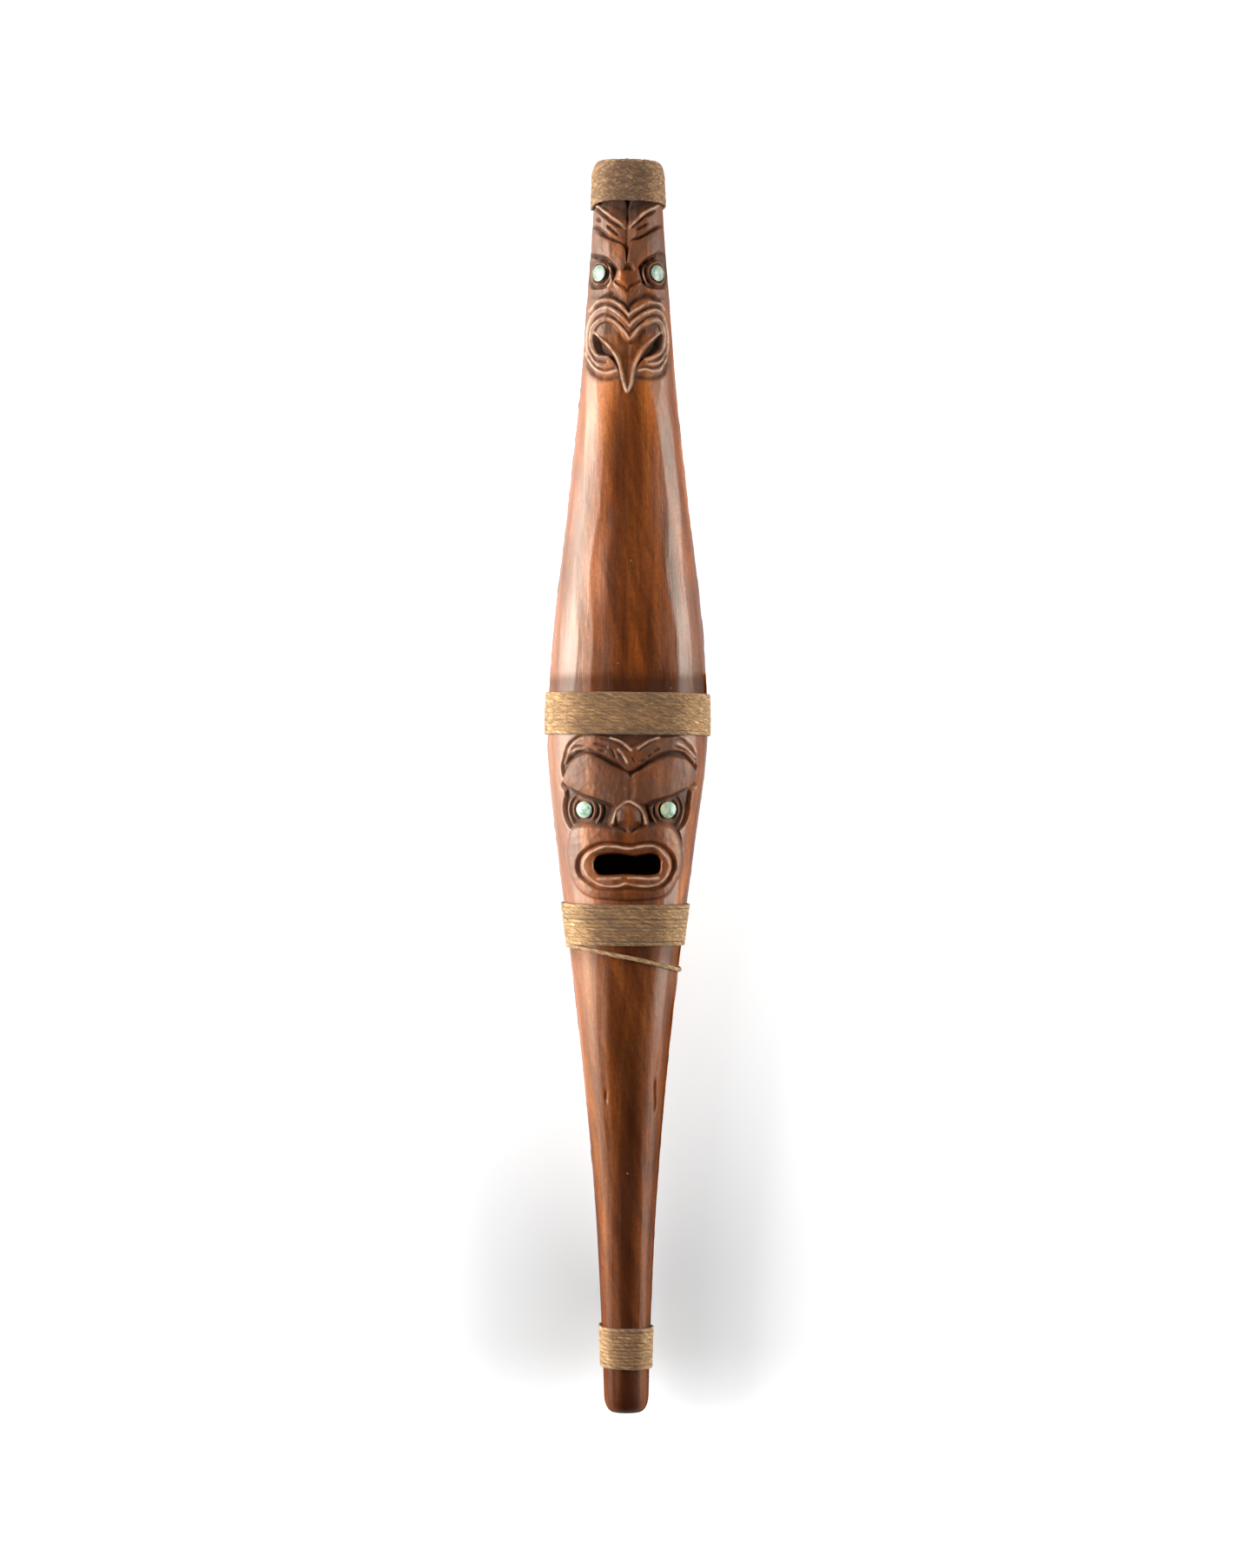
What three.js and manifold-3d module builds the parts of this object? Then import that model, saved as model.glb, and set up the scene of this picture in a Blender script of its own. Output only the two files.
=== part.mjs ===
// A putorino, the Maori bugle flute: a spindle of wood split into a front and a back half,
// hollowed, sealed again with gum and lashed with four whippings of twine. A carved head looks
// out below the blowing end, and the mouth of a second face is the finger hole at the middle.
//
// It lies on its planed back, carvings up. +Z is up, +Y runs to the blowing end, +X to the
// right of the carvings, and the origin is on the table under the middle. Millimetres.
import * as THREE from "three";
import { mergeVertices } from "three/addons/utils/BufferGeometryUtils.js";
import Module from "manifold-3d";

const wasm = await Module();
wasm.setup();

// Driving dimensions of the wood
const length = 460;
const bellyWidth = 58.6;
const frontDepth = 19.4; // parting plane to the crown of the front half
const backDepth = 17.6; // parting plane to the back's natural curve
const backFlatDepth = 16.5; // parting plane to the planed flat that it lies on
const wall = 4.6;
const footBore = 6.4;
const cavityTaper = 150; // the stretch above the foot where the cavity closes to its bore
const lean = 1.1; // how far the lower body drifts off the straight line between the ends
const lipRound = 4; // rounding of the blowing end
const footRound = 5.5;
const gumThickness = 0.5;
const sectionPower = 2.2; // 2 is an ellipse, more is boxier

// The whippings
const twineDiameter = 0.9;
const twinePitch = 1.38;
const twineClearance = 0.3;
const tailDrop = 8.5; // how far the slack last turn of the lower whipping hangs below it
const tailTurns = 1.2;

// The carving
const fieldDepth = 1.3; // how far the ground of each face is cut back
const reliefRise = 1; // brows, muzzle and tongue above the uncut skin
const ridgeWidth = 1.9;
const grooveWidth = 1.1;
const carvingRoot = 3.6; // how deep a carved form is rooted below the skin
const mouthWidth = 25;
const mouthHeight = 8.6;
const lipWidth = 3.2;

// The shell eyes
const eyeDiameter = 6.1;
const eyeThickness = 1.1;
const eyeDome = 0.5;
const eyeClearance = 0.25;
const eyeRimWidth = 1.5;

// Where things stand along the body. A whipping hides each edge of the middle face.
const bareRim = 1.6; // wood that shows above the first whipping
const footWhippingTop = 32.4; // above the foot
const endTurns = 11;
const upperTurns = 12;
const lowerTurns = 11;
const bandHeight = (turns) => twinePitch * turns + twineDiameter;
const headFace = { top: length / 2 - bareRim - bandHeight(endTurns), height: 69 };
const middleFace = { top: 17, height: 59.4 };
const whippings = {
  whipping_blowing_end: { top: length / 2 - bareRim, turns: endTurns, steps: 12 },
  whipping_upper: { top: middleFace.top + bandHeight(upperTurns), turns: upperTurns, steps: 18 },
  whipping_lower: {
    top: middleFace.top - middleFace.height, turns: lowerTurns, steps: 18, slackTail: true,
  },
  whipping_foot: { top: footWhippingTop - length / 2, turns: endTurns, steps: 12 },
};

// How finely curved things are cut into flats
const sectionSteps = 36;
const stationStep = length / 30;
const endStations = 3;
const eyeSides = 14;
const twineSides = 5;
const facetTolerance = 0.04; // how far the carving's facets may leave the drawn forms
const overrun = 4; // how far every cutter runs past what it cuts

// Sections of the spindle: share of the length from the foot, then shares of half the belly
// width, of the front depth and of the back depth, and the share of the lean
const sectionShares = [
  [0, 0.273, 0.371, 0.398, 0.6],
  [0.065, 0.304, 0.407, 0.437, 0.7],
  [0.167, 0.386, 0.505, 0.545, 0.8],
  [0.267, 0.519, 0.649, 0.716, 1],
  [0.367, 0.693, 0.82, 0.943, 1],
  [0.45, 0.86, 0.948, 0.994, 0.85],
  [0.533, 1, 1, 1, 0.3],
  [0.617, 0.945, 0.943, 0.943, 0],
  [0.717, 0.768, 0.804, 0.818, 0],
  [0.817, 0.6, 0.67, 0.693, 0],
  [0.883, 0.522, 0.613, 0.636, 0],
  [0.95, 0.444, 0.546, 0.58, 0],
  [1, 0.413, 0.515, 0.545, 0],
];
const footFaceShare = 0.62; // what the end rounding leaves of the last section
const lipFaceShare = 0.8;

// Carvings, as points [u, v]: u is a share of the local half width, 0 at the middle and -1 at
// the left edge, and v a share of the face's height, down from its top. The left half is given
// and the right half mirrors it.
const headShares = {
  spine: [[0, 0.02], [0, 0.18], [0, 0.33]],
  brow: [
    [-0.02, 0.24], [-0.45, 0.19], [-0.84, 0.155], [-0.97, 0.2], [-0.95, 0.265],
    [-0.65, 0.294], [-0.4, 0.325], [-0.24, 0.355], [-0.02, 0.345],
  ],
  chevrons: [
    [[-0.96, 0.05], [-0.8, 0.035], [-0.42, 0.08], [-0.05, 0.14]],
    [[-0.97, 0.09], [-0.75, 0.075], [-0.42, 0.115], [-0.05, 0.175]],
    [[-0.97, 0.135], [-0.72, 0.12], [-0.4, 0.16], [-0.05, 0.215]],
  ],
  eye: [-0.77, 0.366],
  nose: [
    [0, 0.34], [-0.13, 0.375], [-0.31, 0.42], [-0.32, 0.45], [-0.14, 0.49], [0, 0.53],
  ],
  lips: [
    [[0, 0.6], [-0.3, 0.535], [-0.62, 0.53], [-0.86, 0.575], [-0.96, 0.64]],
    [
      [0, 0.66], [-0.28, 0.585], [-0.56, 0.57], [-0.84, 0.63], [-0.93, 0.74],
      [-0.87, 0.82], [-0.62, 0.88], [-0.2, 0.885],
    ],
    [
      [0, 0.722], [-0.26, 0.645], [-0.53, 0.625], [-0.79, 0.69], [-0.8, 0.77],
      [-0.66, 0.822], [-0.42, 0.84],
    ],
  ],
  tongue: [
    [0, 0.735], [-0.36, 0.7], [-0.73, 0.69], [-0.42, 0.76], [-0.22, 0.83],
    [-0.11, 0.905], [0, 1.01],
  ],
};
const middleShares = {
  brow: [
    [-0.02, 0.235], [-0.26, 0.15], [-0.5, 0.09], [-0.68, 0.11], [-0.84, 0.2],
    [-0.85, 0.28], [-0.64, 0.342], [-0.41, 0.378], [-0.15, 0.42], [-0.02, 0.39],
  ],
  chevrons: [
    [[-0.84, 0.09], [-0.72, 0.025], [-0.4, 0.02], [-0.03, 0.1]],
    [[-0.86, 0.135], [-0.72, 0.065], [-0.44, 0.05], [-0.03, 0.15]],
    [[-0.87, 0.175], [-0.74, 0.1], [-0.46, 0.08], [-0.03, 0.2]],
  ],
  eye: [-0.575, 0.436],
  nose: [
    [0, 0.385], [-0.14, 0.44], [-0.21, 0.5], [-0.2, 0.55], [-0.08, 0.56], [0, 0.575],
  ],
  muzzle: [
    [0, 0.55], [-0.45, 0.545], [-0.72, 0.565], [-0.86, 0.66], [-0.85, 0.8],
    [-0.7, 0.93], [-0.4, 0.985], [0, 0.992],
  ],
  mouth: [0, 0.79],
};
const faceFieldShare = 0.95; // how far round the wood the ground is cut back, on each side
const headFieldShares = [-0.03, 0.92]; // where the ground starts and ends down each face
const middleFieldShares = [-0.03, 1.03];

// Value of a smooth curve through rows of [position, value, value, ...]
function smoothRow(rows, position) {
  const last = rows.length - 2;
  let i = 0;
  while (i < last && rows[i + 1][0] < position) i += 1;
  const [from, to] = [rows[i], rows[i + 1]];
  const before = rows[Math.max(i - 1, 0)];
  const after = rows[Math.min(i + 2, last + 1)];
  const span = to[0] - from[0];
  const t = (position - from[0]) / span;
  return from.slice(1).map((value, k) => {
    const end = to[k + 1];
    const startSlope = ((end - before[k + 1]) / (to[0] - before[0])) * span;
    const endSlope = ((after[k + 1] - value) / (after[0] - from[0])) * span;
    return (
      value * (1 + 2 * t) * (1 - t) ** 2 +
      startSlope * t * (1 - t) ** 2 +
      end * t * t * (3 - 2 * t) -
      endSlope * t * t * (1 - t)
    );
  });
}

// How much the rounding of the two ends leaves of the section at y
function endScale(y) {
  const fromFoot = y + length / 2;
  const fromLip = length / 2 - y;
  const rounded = (distance, radius, faceShare) => {
    const inset = THREE.MathUtils.clamp(1 - distance / radius, 0, 1);
    return faceShare + (1 - faceShare) * Math.sqrt(1 - inset * inset);
  };
  return rounded(fromFoot, footRound, footFaceShare) * rounded(fromLip, lipRound, lipFaceShare);
}

// The section at y: half width, front and back depth, and the middle's place across
function sectionAt(y) {
  const along = THREE.MathUtils.clamp(y / length + 1 / 2, 0, 1);
  const [widthShare, frontShare, backShare, leanShare] = smoothRow(sectionShares, along);
  const scale = endScale(y);
  return {
    half: (scale * widthShare * bellyWidth) / 2,
    front: scale * frontShare * frontDepth,
    back: scale * backShare * backDepth,
    middle: -leanShare * lean,
  };
}

// A point of the skin at y. The angle is 0 at the right edge, a quarter turn at the crown of the
// front and three quarters at the back, which is planed flat.
function skinPoint(angle, y) {
  const { half, front, back, middle } = sectionAt(y);
  const rounded = (value) => Math.sign(value) * Math.abs(value) ** (2 / sectionPower);
  const across = rounded(Math.cos(angle));
  const upward = rounded(Math.sin(angle));
  const z = upward > 0 ? upward * front : Math.max(upward * back, -backFlatDepth);
  return new THREE.Vector3(middle + across * half, y, z);
}

function skinNormal(angle, y) {
  const turn = Math.PI / sectionSteps;
  const step = wall / 2;
  const along = skinPoint(angle, y + step).sub(skinPoint(angle, y - step));
  const around = skinPoint(angle + turn, y).sub(skinPoint(angle - turn, y));
  return around.cross(along).multiplyScalar(-1).normalize();
}

function aboveSkin(angle, y, height) {
  return skinPoint(angle, y).addScaledVector(skinNormal(angle, y), height);
}

// The skin's angle at a share of the half width, on the front
function angleAt(u) {
  const across = THREE.MathUtils.clamp(u, -1, 1);
  return Math.acos(Math.sign(across) * Math.abs(across) ** (sectionPower / 2));
}

function onFace(face, [u, v], height) {
  return aboveSkin(angleAt(u), face.top - v * face.height, height);
}

// Meshes from rings, and solids from meshes

// A closed geometry through rings of as many points each. It ends in fans round each end ring's
// middle, or joins its last ring to its first.
function loft(rings, closed = false) {
  const count = rings[0].length;
  const points = rings.flat();
  const triangles = [];
  const spans = closed ? rings.length : rings.length - 1;
  for (let i = 0; i < spans; i += 1) {
    const next = (i + 1) % rings.length;
    for (let k = 0; k < count; k += 1) {
      const [a, b] = [i * count + k, i * count + ((k + 1) % count)];
      const [c, d] = [next * count + k, next * count + ((k + 1) % count)];
      triangles.push(a, b, d, a, d, c);
    }
  }
  if (!closed) {
    for (const [ring, flip] of [[0, true], [rings.length - 1, false]]) {
      const middle = rings[ring]
        .reduce((sum, point) => sum.add(point), new THREE.Vector3())
        .divideScalar(count);
      const hub = points.push(middle) - 1;
      for (let k = 0; k < count; k += 1) {
        const [a, b] = [ring * count + k, ring * count + ((k + 1) % count)];
        triangles.push(...(flip ? [hub, b, a] : [hub, a, b]));
      }
    }
  }
  return new THREE.BufferGeometry().setFromPoints(points).setIndex(triangles);
}

function solid(geometry, matrix = new THREE.Matrix4()) {
  const bare = geometry.clone().applyMatrix4(matrix);
  bare.deleteAttribute("normal");
  bare.deleteAttribute("uv");
  const merged = mergeVertices(bare);
  const triVerts = new Uint32Array(merged.index.array);
  const build = () =>
    new wasm.Manifold(
      new wasm.Mesh({ numProp: 3, vertProperties: merged.attributes.position.array, triVerts }),
    );
  const made = build();
  if (made.volume() >= 0) return made;
  for (let i = 0; i < triVerts.length; i += 3) {
    [triVerts[i], triVerts[i + 1]] = [triVerts[i + 1], triVerts[i]];
  }
  return build();
}

// The biggest body of a solid, without slivers that the cuts may leave beside it
function mainBody(made) {
  const bodies = made.decompose();
  return bodies.reduce((most, body) => (body.volume() > most.volume() ? body : most));
}

function geometryOf(made) {
  const mesh = made.getMesh();
  return new THREE.BufferGeometry()
    .setAttribute("position", new THREE.BufferAttribute(mesh.vertProperties, mesh.numProp))
    .setIndex(new THREE.BufferAttribute(mesh.triVerts, 1));
}

// A bar along points with their normals. section(share) gives its outline at a share of the
// way, as places [sideways, upwards] from the point.
function sweep(points, normals, section, closed = false) {
  const last = points.length - 1;
  const rings = points.map((point, i) => {
    const before = points[closed ? (i + last) % (last + 1) : Math.max(i - 1, 0)];
    const after = points[closed ? (i + 1) % (last + 1) : Math.min(i + 1, last)];
    const side = after.clone().sub(before).cross(normals[i]).normalize();
    return section(i / last).map(([across, up]) =>
      point.clone().addScaledVector(side, across).addScaledVector(normals[i], up),
    );
  });
  return loft(rings, closed);
}

// A round section whose flat faces outwards
function roundSection(radius, sides) {
  return Array.from({ length: sides }, (_, k) => {
    const angle = ((k + 1 / 2) * 2 * Math.PI) / sides;
    return [Math.sin(angle) * radius, Math.cos(angle) * radius];
  });
}

// The section of a carved ridge: a crest between two slopes, on sides that reach down into the
// wood
function crestSection(width, height) {
  const [half, shoulder] = [width / 2, height - 0.4 * width];
  return [
    [-half, -carvingRoot], [half, -carvingRoot], [half, shoulder],
    [0.25 * half, height], [-0.25 * half, height], [-half, shoulder],
  ];
}

// Points of a smooth curve through [u, v] shares
function smoothShares(shares, count, closed = false) {
  const curve = new THREE.CatmullRomCurve3(
    shares.map(([u, v]) => new THREE.Vector3(u, v, 0)),
    closed,
    "centripetal",
  );
  const points = curve.getPoints(count).map(({ x, y }) => [x, y]);
  return closed ? points.slice(0, -1) : points;
}

const mirrored = (shares) => shares.map(([u, v]) => [-u, v]);

// Carving operations on a face

function faceNormal(face, [u, v]) {
  return skinNormal(angleAt(u), face.top - v * face.height);
}

// A bar that follows the skin through [u, v] shares
function onSkin(face, shares, section, closed = false) {
  const points = shares.map((place) => onFace(face, place, 0));
  const normals = shares.map((place) => faceNormal(face, place));
  return solid(sweep(points, normals, section, closed));
}

// A ridge that narrows to its ends
function ridge(face, shares, height, steps) {
  const section = (share) => {
    const swell = 0.55 + 0.45 * Math.sin(Math.PI * share);
    return crestSection(swell * ridgeWidth, height);
  };
  return onSkin(face, smoothShares(shares, steps), section);
}

// A crowned form inside a closed outline. Each step of the profile is the share of the outline
// that it keeps, and its height above the skin.
function pad(face, outline, profile) {
  const middle = outline
    .reduce(([su, sv], [u, v]) => [su + u, sv + v], [0, 0])
    .map((sum) => sum / outline.length);
  const rings = profile.map(([keep, height]) =>
    outline.map(([u, v]) =>
      onFace(face, [middle[0] + keep * (u - middle[0]), middle[1] + keep * (v - middle[1])], height),
    ),
  );
  return solid(loft(rings));
}

// The ground that is cut back over a face: a slab that follows the skin, and runs out to
// nothing at the sides
function fieldCutter(face, [vFrom, vTo]) {
  const [acrossSteps, alongSteps] = [10, 6];
  const rings = [];
  for (let k = 0; k <= acrossSteps; k += 1) {
    const share = (2 * k) / acrossSteps - 1;
    const row = (height) =>
      Array.from({ length: alongSteps + 1 }, (_, i) => {
        const v = THREE.MathUtils.lerp(vFrom, vTo, i / alongSteps);
        return onFace(face, [faceFieldShare * share, v], height);
      });
    rings.push([...row(-fieldDepth * (1 - share ** 6)), ...row(overrun).reverse()]);
  }
  return solid(loft(rings));
}

// The place and direction of an eye on the skin
function eyeMatrix(face, [u, v], side) {
  const base = onFace(face, [side * u, v], 0);
  const outward = onFace(face, [side * u, v], wall).sub(base).normalize();
  const turn = new THREE.Quaternion().setFromUnitVectors(new THREE.Vector3(0, 0, 1), outward);
  return new THREE.Matrix4().compose(base, turn, new THREE.Vector3(1, 1, 1));
}

const eyeSeat = -fieldDepth; // the socket's floor below the skin

function eyeSocketCutter(matrix) {
  const radius = eyeDiameter / 2 + eyeClearance;
  const cutter = new THREE.CylinderGeometry(radius, radius, overrun - eyeSeat, eyeSides);
  cutter.rotateX(Math.PI / 2).translate(0, 0, (overrun + eyeSeat) / 2);
  return solid(cutter, matrix);
}

// A ring of wood round an eye, its crest at a radius
function eyeRim(matrix, radius, height) {
  const profile = crestSection(eyeRimWidth, height)
    .map(([across, up]) => new THREE.Vector2(radius + across, up));
  const rim = new THREE.LatheGeometry([...profile, profile[0]], eyeSides);
  return solid(rim.rotateX(Math.PI / 2), matrix);
}

// A disc of shell with a low dome and an eased edge
function eyeGeometry() {
  const radius = eyeDiameter / 2;
  const profile = [
    [0, 0], [radius, 0], [radius, eyeThickness - eyeDome],
    [0.8 * radius, eyeThickness - 0.4 * eyeDome], [0.45 * radius, eyeThickness - 0.1 * eyeDome],
    [0, eyeThickness],
  ].map(([r, z]) => new THREE.Vector2(r, z));
  return new THREE.LatheGeometry(profile, eyeSides).rotateX(Math.PI / 2);
}

// The two halves of the body

function stations() {
  const ys = [];
  for (let y = -length / 2 + footRound; y < length / 2 - lipRound; y += stationStep) ys.push(y);
  for (let k = 0; k <= endStations; k += 1) {
    const ease = 1 - Math.cos(((k / endStations) * Math.PI) / 2);
    if (k < endStations) ys.push(-length / 2 + footRound * ease);
    ys.push(length / 2 - lipRound * ease);
  }
  return ys.sort((a, b) => a - b);
}

// Half of the spindle, from the seam to the skin. side is 1 for the front, -1 for the back.
function halfBlank(side) {
  const steps = sectionSteps / 2;
  const seam = new THREE.Vector3(0, 0, (side * gumThickness) / 2);
  const rings = stations().map((y) =>
    Array.from({ length: steps + 1 }, (_, k) => {
      const point = skinPoint((side * Math.PI * k) / steps, y);
      return k === 0 || k === steps ? point.setZ(seam.z) : point;
    }),
  );
  return solid(loft(rings));
}

// The cavity's section: the wall's thickness inside the skin, closing to the bore at the foot
function cavityAt(y) {
  const { half, front, back, middle } = sectionAt(
    THREE.MathUtils.clamp(y, -length / 2 + footRound, length / 2 - lipRound),
  );
  const open = THREE.MathUtils.smoothstep(y, -length / 2, cavityTaper - length / 2);
  const inside = (outer) => THREE.MathUtils.lerp(footBore / 2, outer - wall, open);
  return {
    half: inside(half),
    front: inside(front),
    back: inside(Math.min(back, backFlatDepth)),
    middle,
  };
}

function cavity() {
  const steps = 18;
  const ys = [-length / 2 - overrun];
  for (let y = -length / 2 + stationStep; y < length / 2; y += 2 * stationStep) ys.push(y);
  ys.push(length / 2 + overrun);
  const rings = ys.map((y) => {
    const { half, front, back, middle } = cavityAt(y);
    return Array.from({ length: steps }, (_, k) => {
      const angle = (2 * Math.PI * k) / steps;
      const depth = Math.sin(angle) > 0 ? front : back;
      return new THREE.Vector3(middle + half * Math.cos(angle), y, depth * Math.sin(angle));
    });
  });
  return solid(loft(rings));
}

// Carvings of the head below the blowing end
function carvedHead(blank) {
  const face = headFace;
  const both = (make) => [make((shares) => shares), make(mirrored)];
  const crown = [[1, -carvingRoot], [1, -0.1 * reliefRise], [0.82, 0.6 * reliefRise],
    [0.4, reliefRise]];
  const outline = (shares, count) => smoothShares(shares, count, true);
  const eyes = [1, -1].map((side) => eyeMatrix(face, headShares.eye, side));
  const eyeRadius = eyeDiameter / 2 + eyeClearance + eyeRimWidth / 2;
  const added = [
    ridge(face, headShares.spine, 0.5 * reliefRise, 3),
    ...both((hand) => pad(face, outline(hand(headShares.brow), 16), crown)),
    ...headShares.chevrons.flatMap((line) =>
      both((hand) => ridge(face, hand(line), 0.3 * reliefRise, 5)),
    ),
    ...headShares.lips.flatMap((line) =>
      both((hand) => ridge(face, hand(line), 0.4 * reliefRise, Math.round(1.5 * line.length))),
    ),
    ...eyes.map((matrix) => eyeRim(matrix, eyeRadius, 0)),
    pad(face, outline([...headShares.nose, ...mirrored(headShares.nose).slice(1, -1).reverse()], 16),
      [[1, -carvingRoot], [1, -0.4 * reliefRise], [0.75, reliefRise], [0.2, 1.7 * reliefRise]]),
    pad(face, [...headShares.tongue, ...mirrored(headShares.tongue).slice(1, -1).reverse()],
      [[1, -carvingRoot], [1, 0.5 * reliefRise], [0.6, 1.3 * reliefRise], [0.2, 1.5 * reliefRise]]),
  ];
  return wasm.Manifold.union([blank.subtract(fieldCutter(face, headFieldShares)), ...added])
    .subtract(wasm.Manifold.union(eyes.map(eyeSocketCutter)));
}

// The oval of the mouth, grown by a margin, as [u, v] shares of the middle face
function mouthOval(margin, count) {
  const face = middleFace;
  const { half } = sectionAt(face.top - middleShares.mouth[1] * face.height);
  const across = (mouthWidth / 2 + margin) / half;
  const along = (mouthHeight / 2 + margin) / face.height;
  return Array.from({ length: count }, (_, k) => {
    const angle = (2 * Math.PI * k) / count;
    const squared = (value) => Math.sign(value) * Math.abs(value) ** (1 / 2);
    return [
      across * squared(Math.cos(angle)),
      middleShares.mouth[1] - along * squared(Math.sin(angle)),
    ];
  });
}

// The finger hole through the front wall, square to the parting plane
function mouthCutter() {
  const face = middleFace;
  const outline = mouthOval(0, 20).map(([u, v]) => {
    const skin = onFace(face, [u, v], 0);
    return new THREE.Vector2(skin.x, skin.y);
  });
  const depth = frontDepth + overrun;
  return solid(
    new THREE.ExtrudeGeometry(new THREE.Shape(outline), { depth, bevelEnabled: false }),
  );
}

// Carvings of the face at the middle, whose mouth opens into the cavity
function carvedMiddle(blank) {
  const face = middleFace;
  const both = (make) => [make((shares) => shares), make(mirrored)];
  const outline = (shares, count) => smoothShares(shares, count, true);
  const crown = [[1, -carvingRoot], [1, -0.1 * reliefRise], [0.82, 0.7 * reliefRise],
    [0.4, 1.1 * reliefRise]];
  const eyes = [1, -1].map((side) => eyeMatrix(face, middleShares.eye, side));
  const eyeRadius = eyeDiameter / 2 + eyeClearance + eyeRimWidth / 2;
  const muzzle = [...middleShares.muzzle, ...mirrored(middleShares.muzzle).slice(1, -1).reverse()];
  const nose = [...middleShares.nose, ...mirrored(middleShares.nose).slice(1, -1).reverse()];
  const added = [
    ...both((hand) => pad(face, outline(hand(middleShares.brow), 18), crown)),
    ...middleShares.chevrons.flatMap((line) =>
      both((hand) => ridge(face, hand(line), 0.2 * reliefRise, 6)),
    ),
    ...eyes.flatMap((matrix) => [
      eyeRim(matrix, eyeRadius, 0),
      eyeRim(matrix, eyeRadius + 1.4 * eyeRimWidth, -0.4 * reliefRise),
    ]),
    pad(face, outline(muzzle, 24), [[1, -carvingRoot], [1, -0.2 * reliefRise],
      [0.88, 0.8 * reliefRise], [0.7, 1.2 * reliefRise]]),
    pad(face, outline(nose, 16), [[1, -carvingRoot], [1, 0.4 * reliefRise],
      [0.75, 2 * reliefRise], [0.2, 2.6 * reliefRise]]),
  ];
  const rounds = 20;
  const groove = onSkin(face, mouthOval(lipWidth + grooveWidth / 2, rounds),
    () => [[-grooveWidth, overrun], [0, 0], [grooveWidth, overrun]], true);
  const lip = onSkin(face, mouthOval(lipWidth / 2, rounds),
    () => crestSection(lipWidth, 1.8 * reliefRise), true);
  return wasm.Manifold.union([blank.subtract(fieldCutter(face, middleFieldShares)), ...added])
    .subtract(groove)
    .add(lip)
    .subtract(wasm.Manifold.union([...eyes.map(eyeSocketCutter), mouthCutter()]));
}

// One strip of gum between the two halves: side is -1 for the left seam, 1 for the right
function gumStrip(side, hollow) {
  const rings = stations().map((y) => {
    const { half, middle } = sectionAt(y);
    const corner = (x, z) => new THREE.Vector3(x, y, (z * gumThickness) / 2);
    const outer = middle + side * half;
    return [corner(outer, -1), corner(outer, 1), corner(middle, 1), corner(middle, -1)];
  });
  return solid(loft(rings)).subtract(hollow);
}

// A whipping: one unbroken helix of twine round the wood, from its top down. It starts at the
// back and runs over the left edge to the front.
function whipping({ top, turns, steps, slackTail }) {
  const radius = twineDiameter / 2;
  const last = Math.round((turns + (slackTail ? tailTurns : 0)) * steps);
  const points = [];
  const normals = [];
  for (let i = 0; i <= last; i += 1) {
    const turn = i / steps;
    const past = THREE.MathUtils.clamp(turn - turns - 1 / 4, 0, 1);
    const drop = slackTail ? tailDrop * Math.sin(Math.PI * past) ** 2.6 : 0;
    const y = top - radius - twinePitch * turn - drop;
    const angle = -Math.PI / 2 - 2 * Math.PI * turn;
    const sagitta = (1 - Math.cos(Math.PI / steps)) * sectionAt(y).half;
    const point = aboveSkin(angle, y, radius + twineClearance + sagitta);
    point.z = Math.max(point.z, -backFlatDepth - twineClearance - radius);
    points.push(point);
    normals.push(skinNormal(angle, y));
  }
  return { points, normals };
}

// Least gap between the surfaces of a helix's neighbouring turns
function leastGap(points, steps) {
  let least = Infinity;
  points.forEach((point, i) => {
    for (let k = i + Math.round(steps / 2); k < points.length; k += 1) {
      const next = points[Math.min(k + 1, points.length - 1)];
      const line = new THREE.Line3(points[k], next);
      const near = line.closestPointToPoint(point, true, new THREE.Vector3());
      least = Math.min(least, near.distanceTo(point) - twineDiameter);
    }
  });
  return least;
}

const materials = {
  wood: new THREE.MeshStandardMaterial({ color: 0x6b3517, roughness: 0.38 }),
  shell: new THREE.MeshStandardMaterial({ color: 0xb9d8c6, roughness: 0.2, metalness: 0.2 }),
  twine: new THREE.MeshStandardMaterial({ color: 0xa9855c, roughness: 0.9 }),
  gum: new THREE.MeshStandardMaterial({ color: 0x24140b, roughness: 0.5 }),
};

const putorino = new THREE.Group();

function place(name, geometry, material) {
  const mesh = new THREE.Mesh(geometry, materials[material]);
  mesh.name = name;
  putorino.add(mesh);
  return mesh;
}

const hollow = cavity();
const carved = carvedMiddle(carvedHead(halfBlank(1))).subtract(hollow);
place("front_half", geometryOf(mainBody(carved).asOriginal().simplify(facetTolerance)), "wood");
place("back_half", geometryOf(halfBlank(-1).subtract(hollow)), "wood");
place("seam_gum_left", geometryOf(gumStrip(-1, hollow)), "gum");
place("seam_gum_right", geometryOf(gumStrip(1, hollow)), "gum");

for (const [name, face, shares] of [
  ["head", headFace, headShares.eye],
  ["middle", middleFace, middleShares.eye],
]) {
  for (const [hand, side] of [["left", 1], ["right", -1]]) {
    const seated = eyeMatrix(face, shares, side)
      .multiply(new THREE.Matrix4().makeTranslation(0, 0, eyeSeat + eyeClearance));
    const eye = place(`eye_${name}_${hand}`, eyeGeometry(), "shell");
    eye.applyMatrix4(seated);
  }
}

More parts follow.
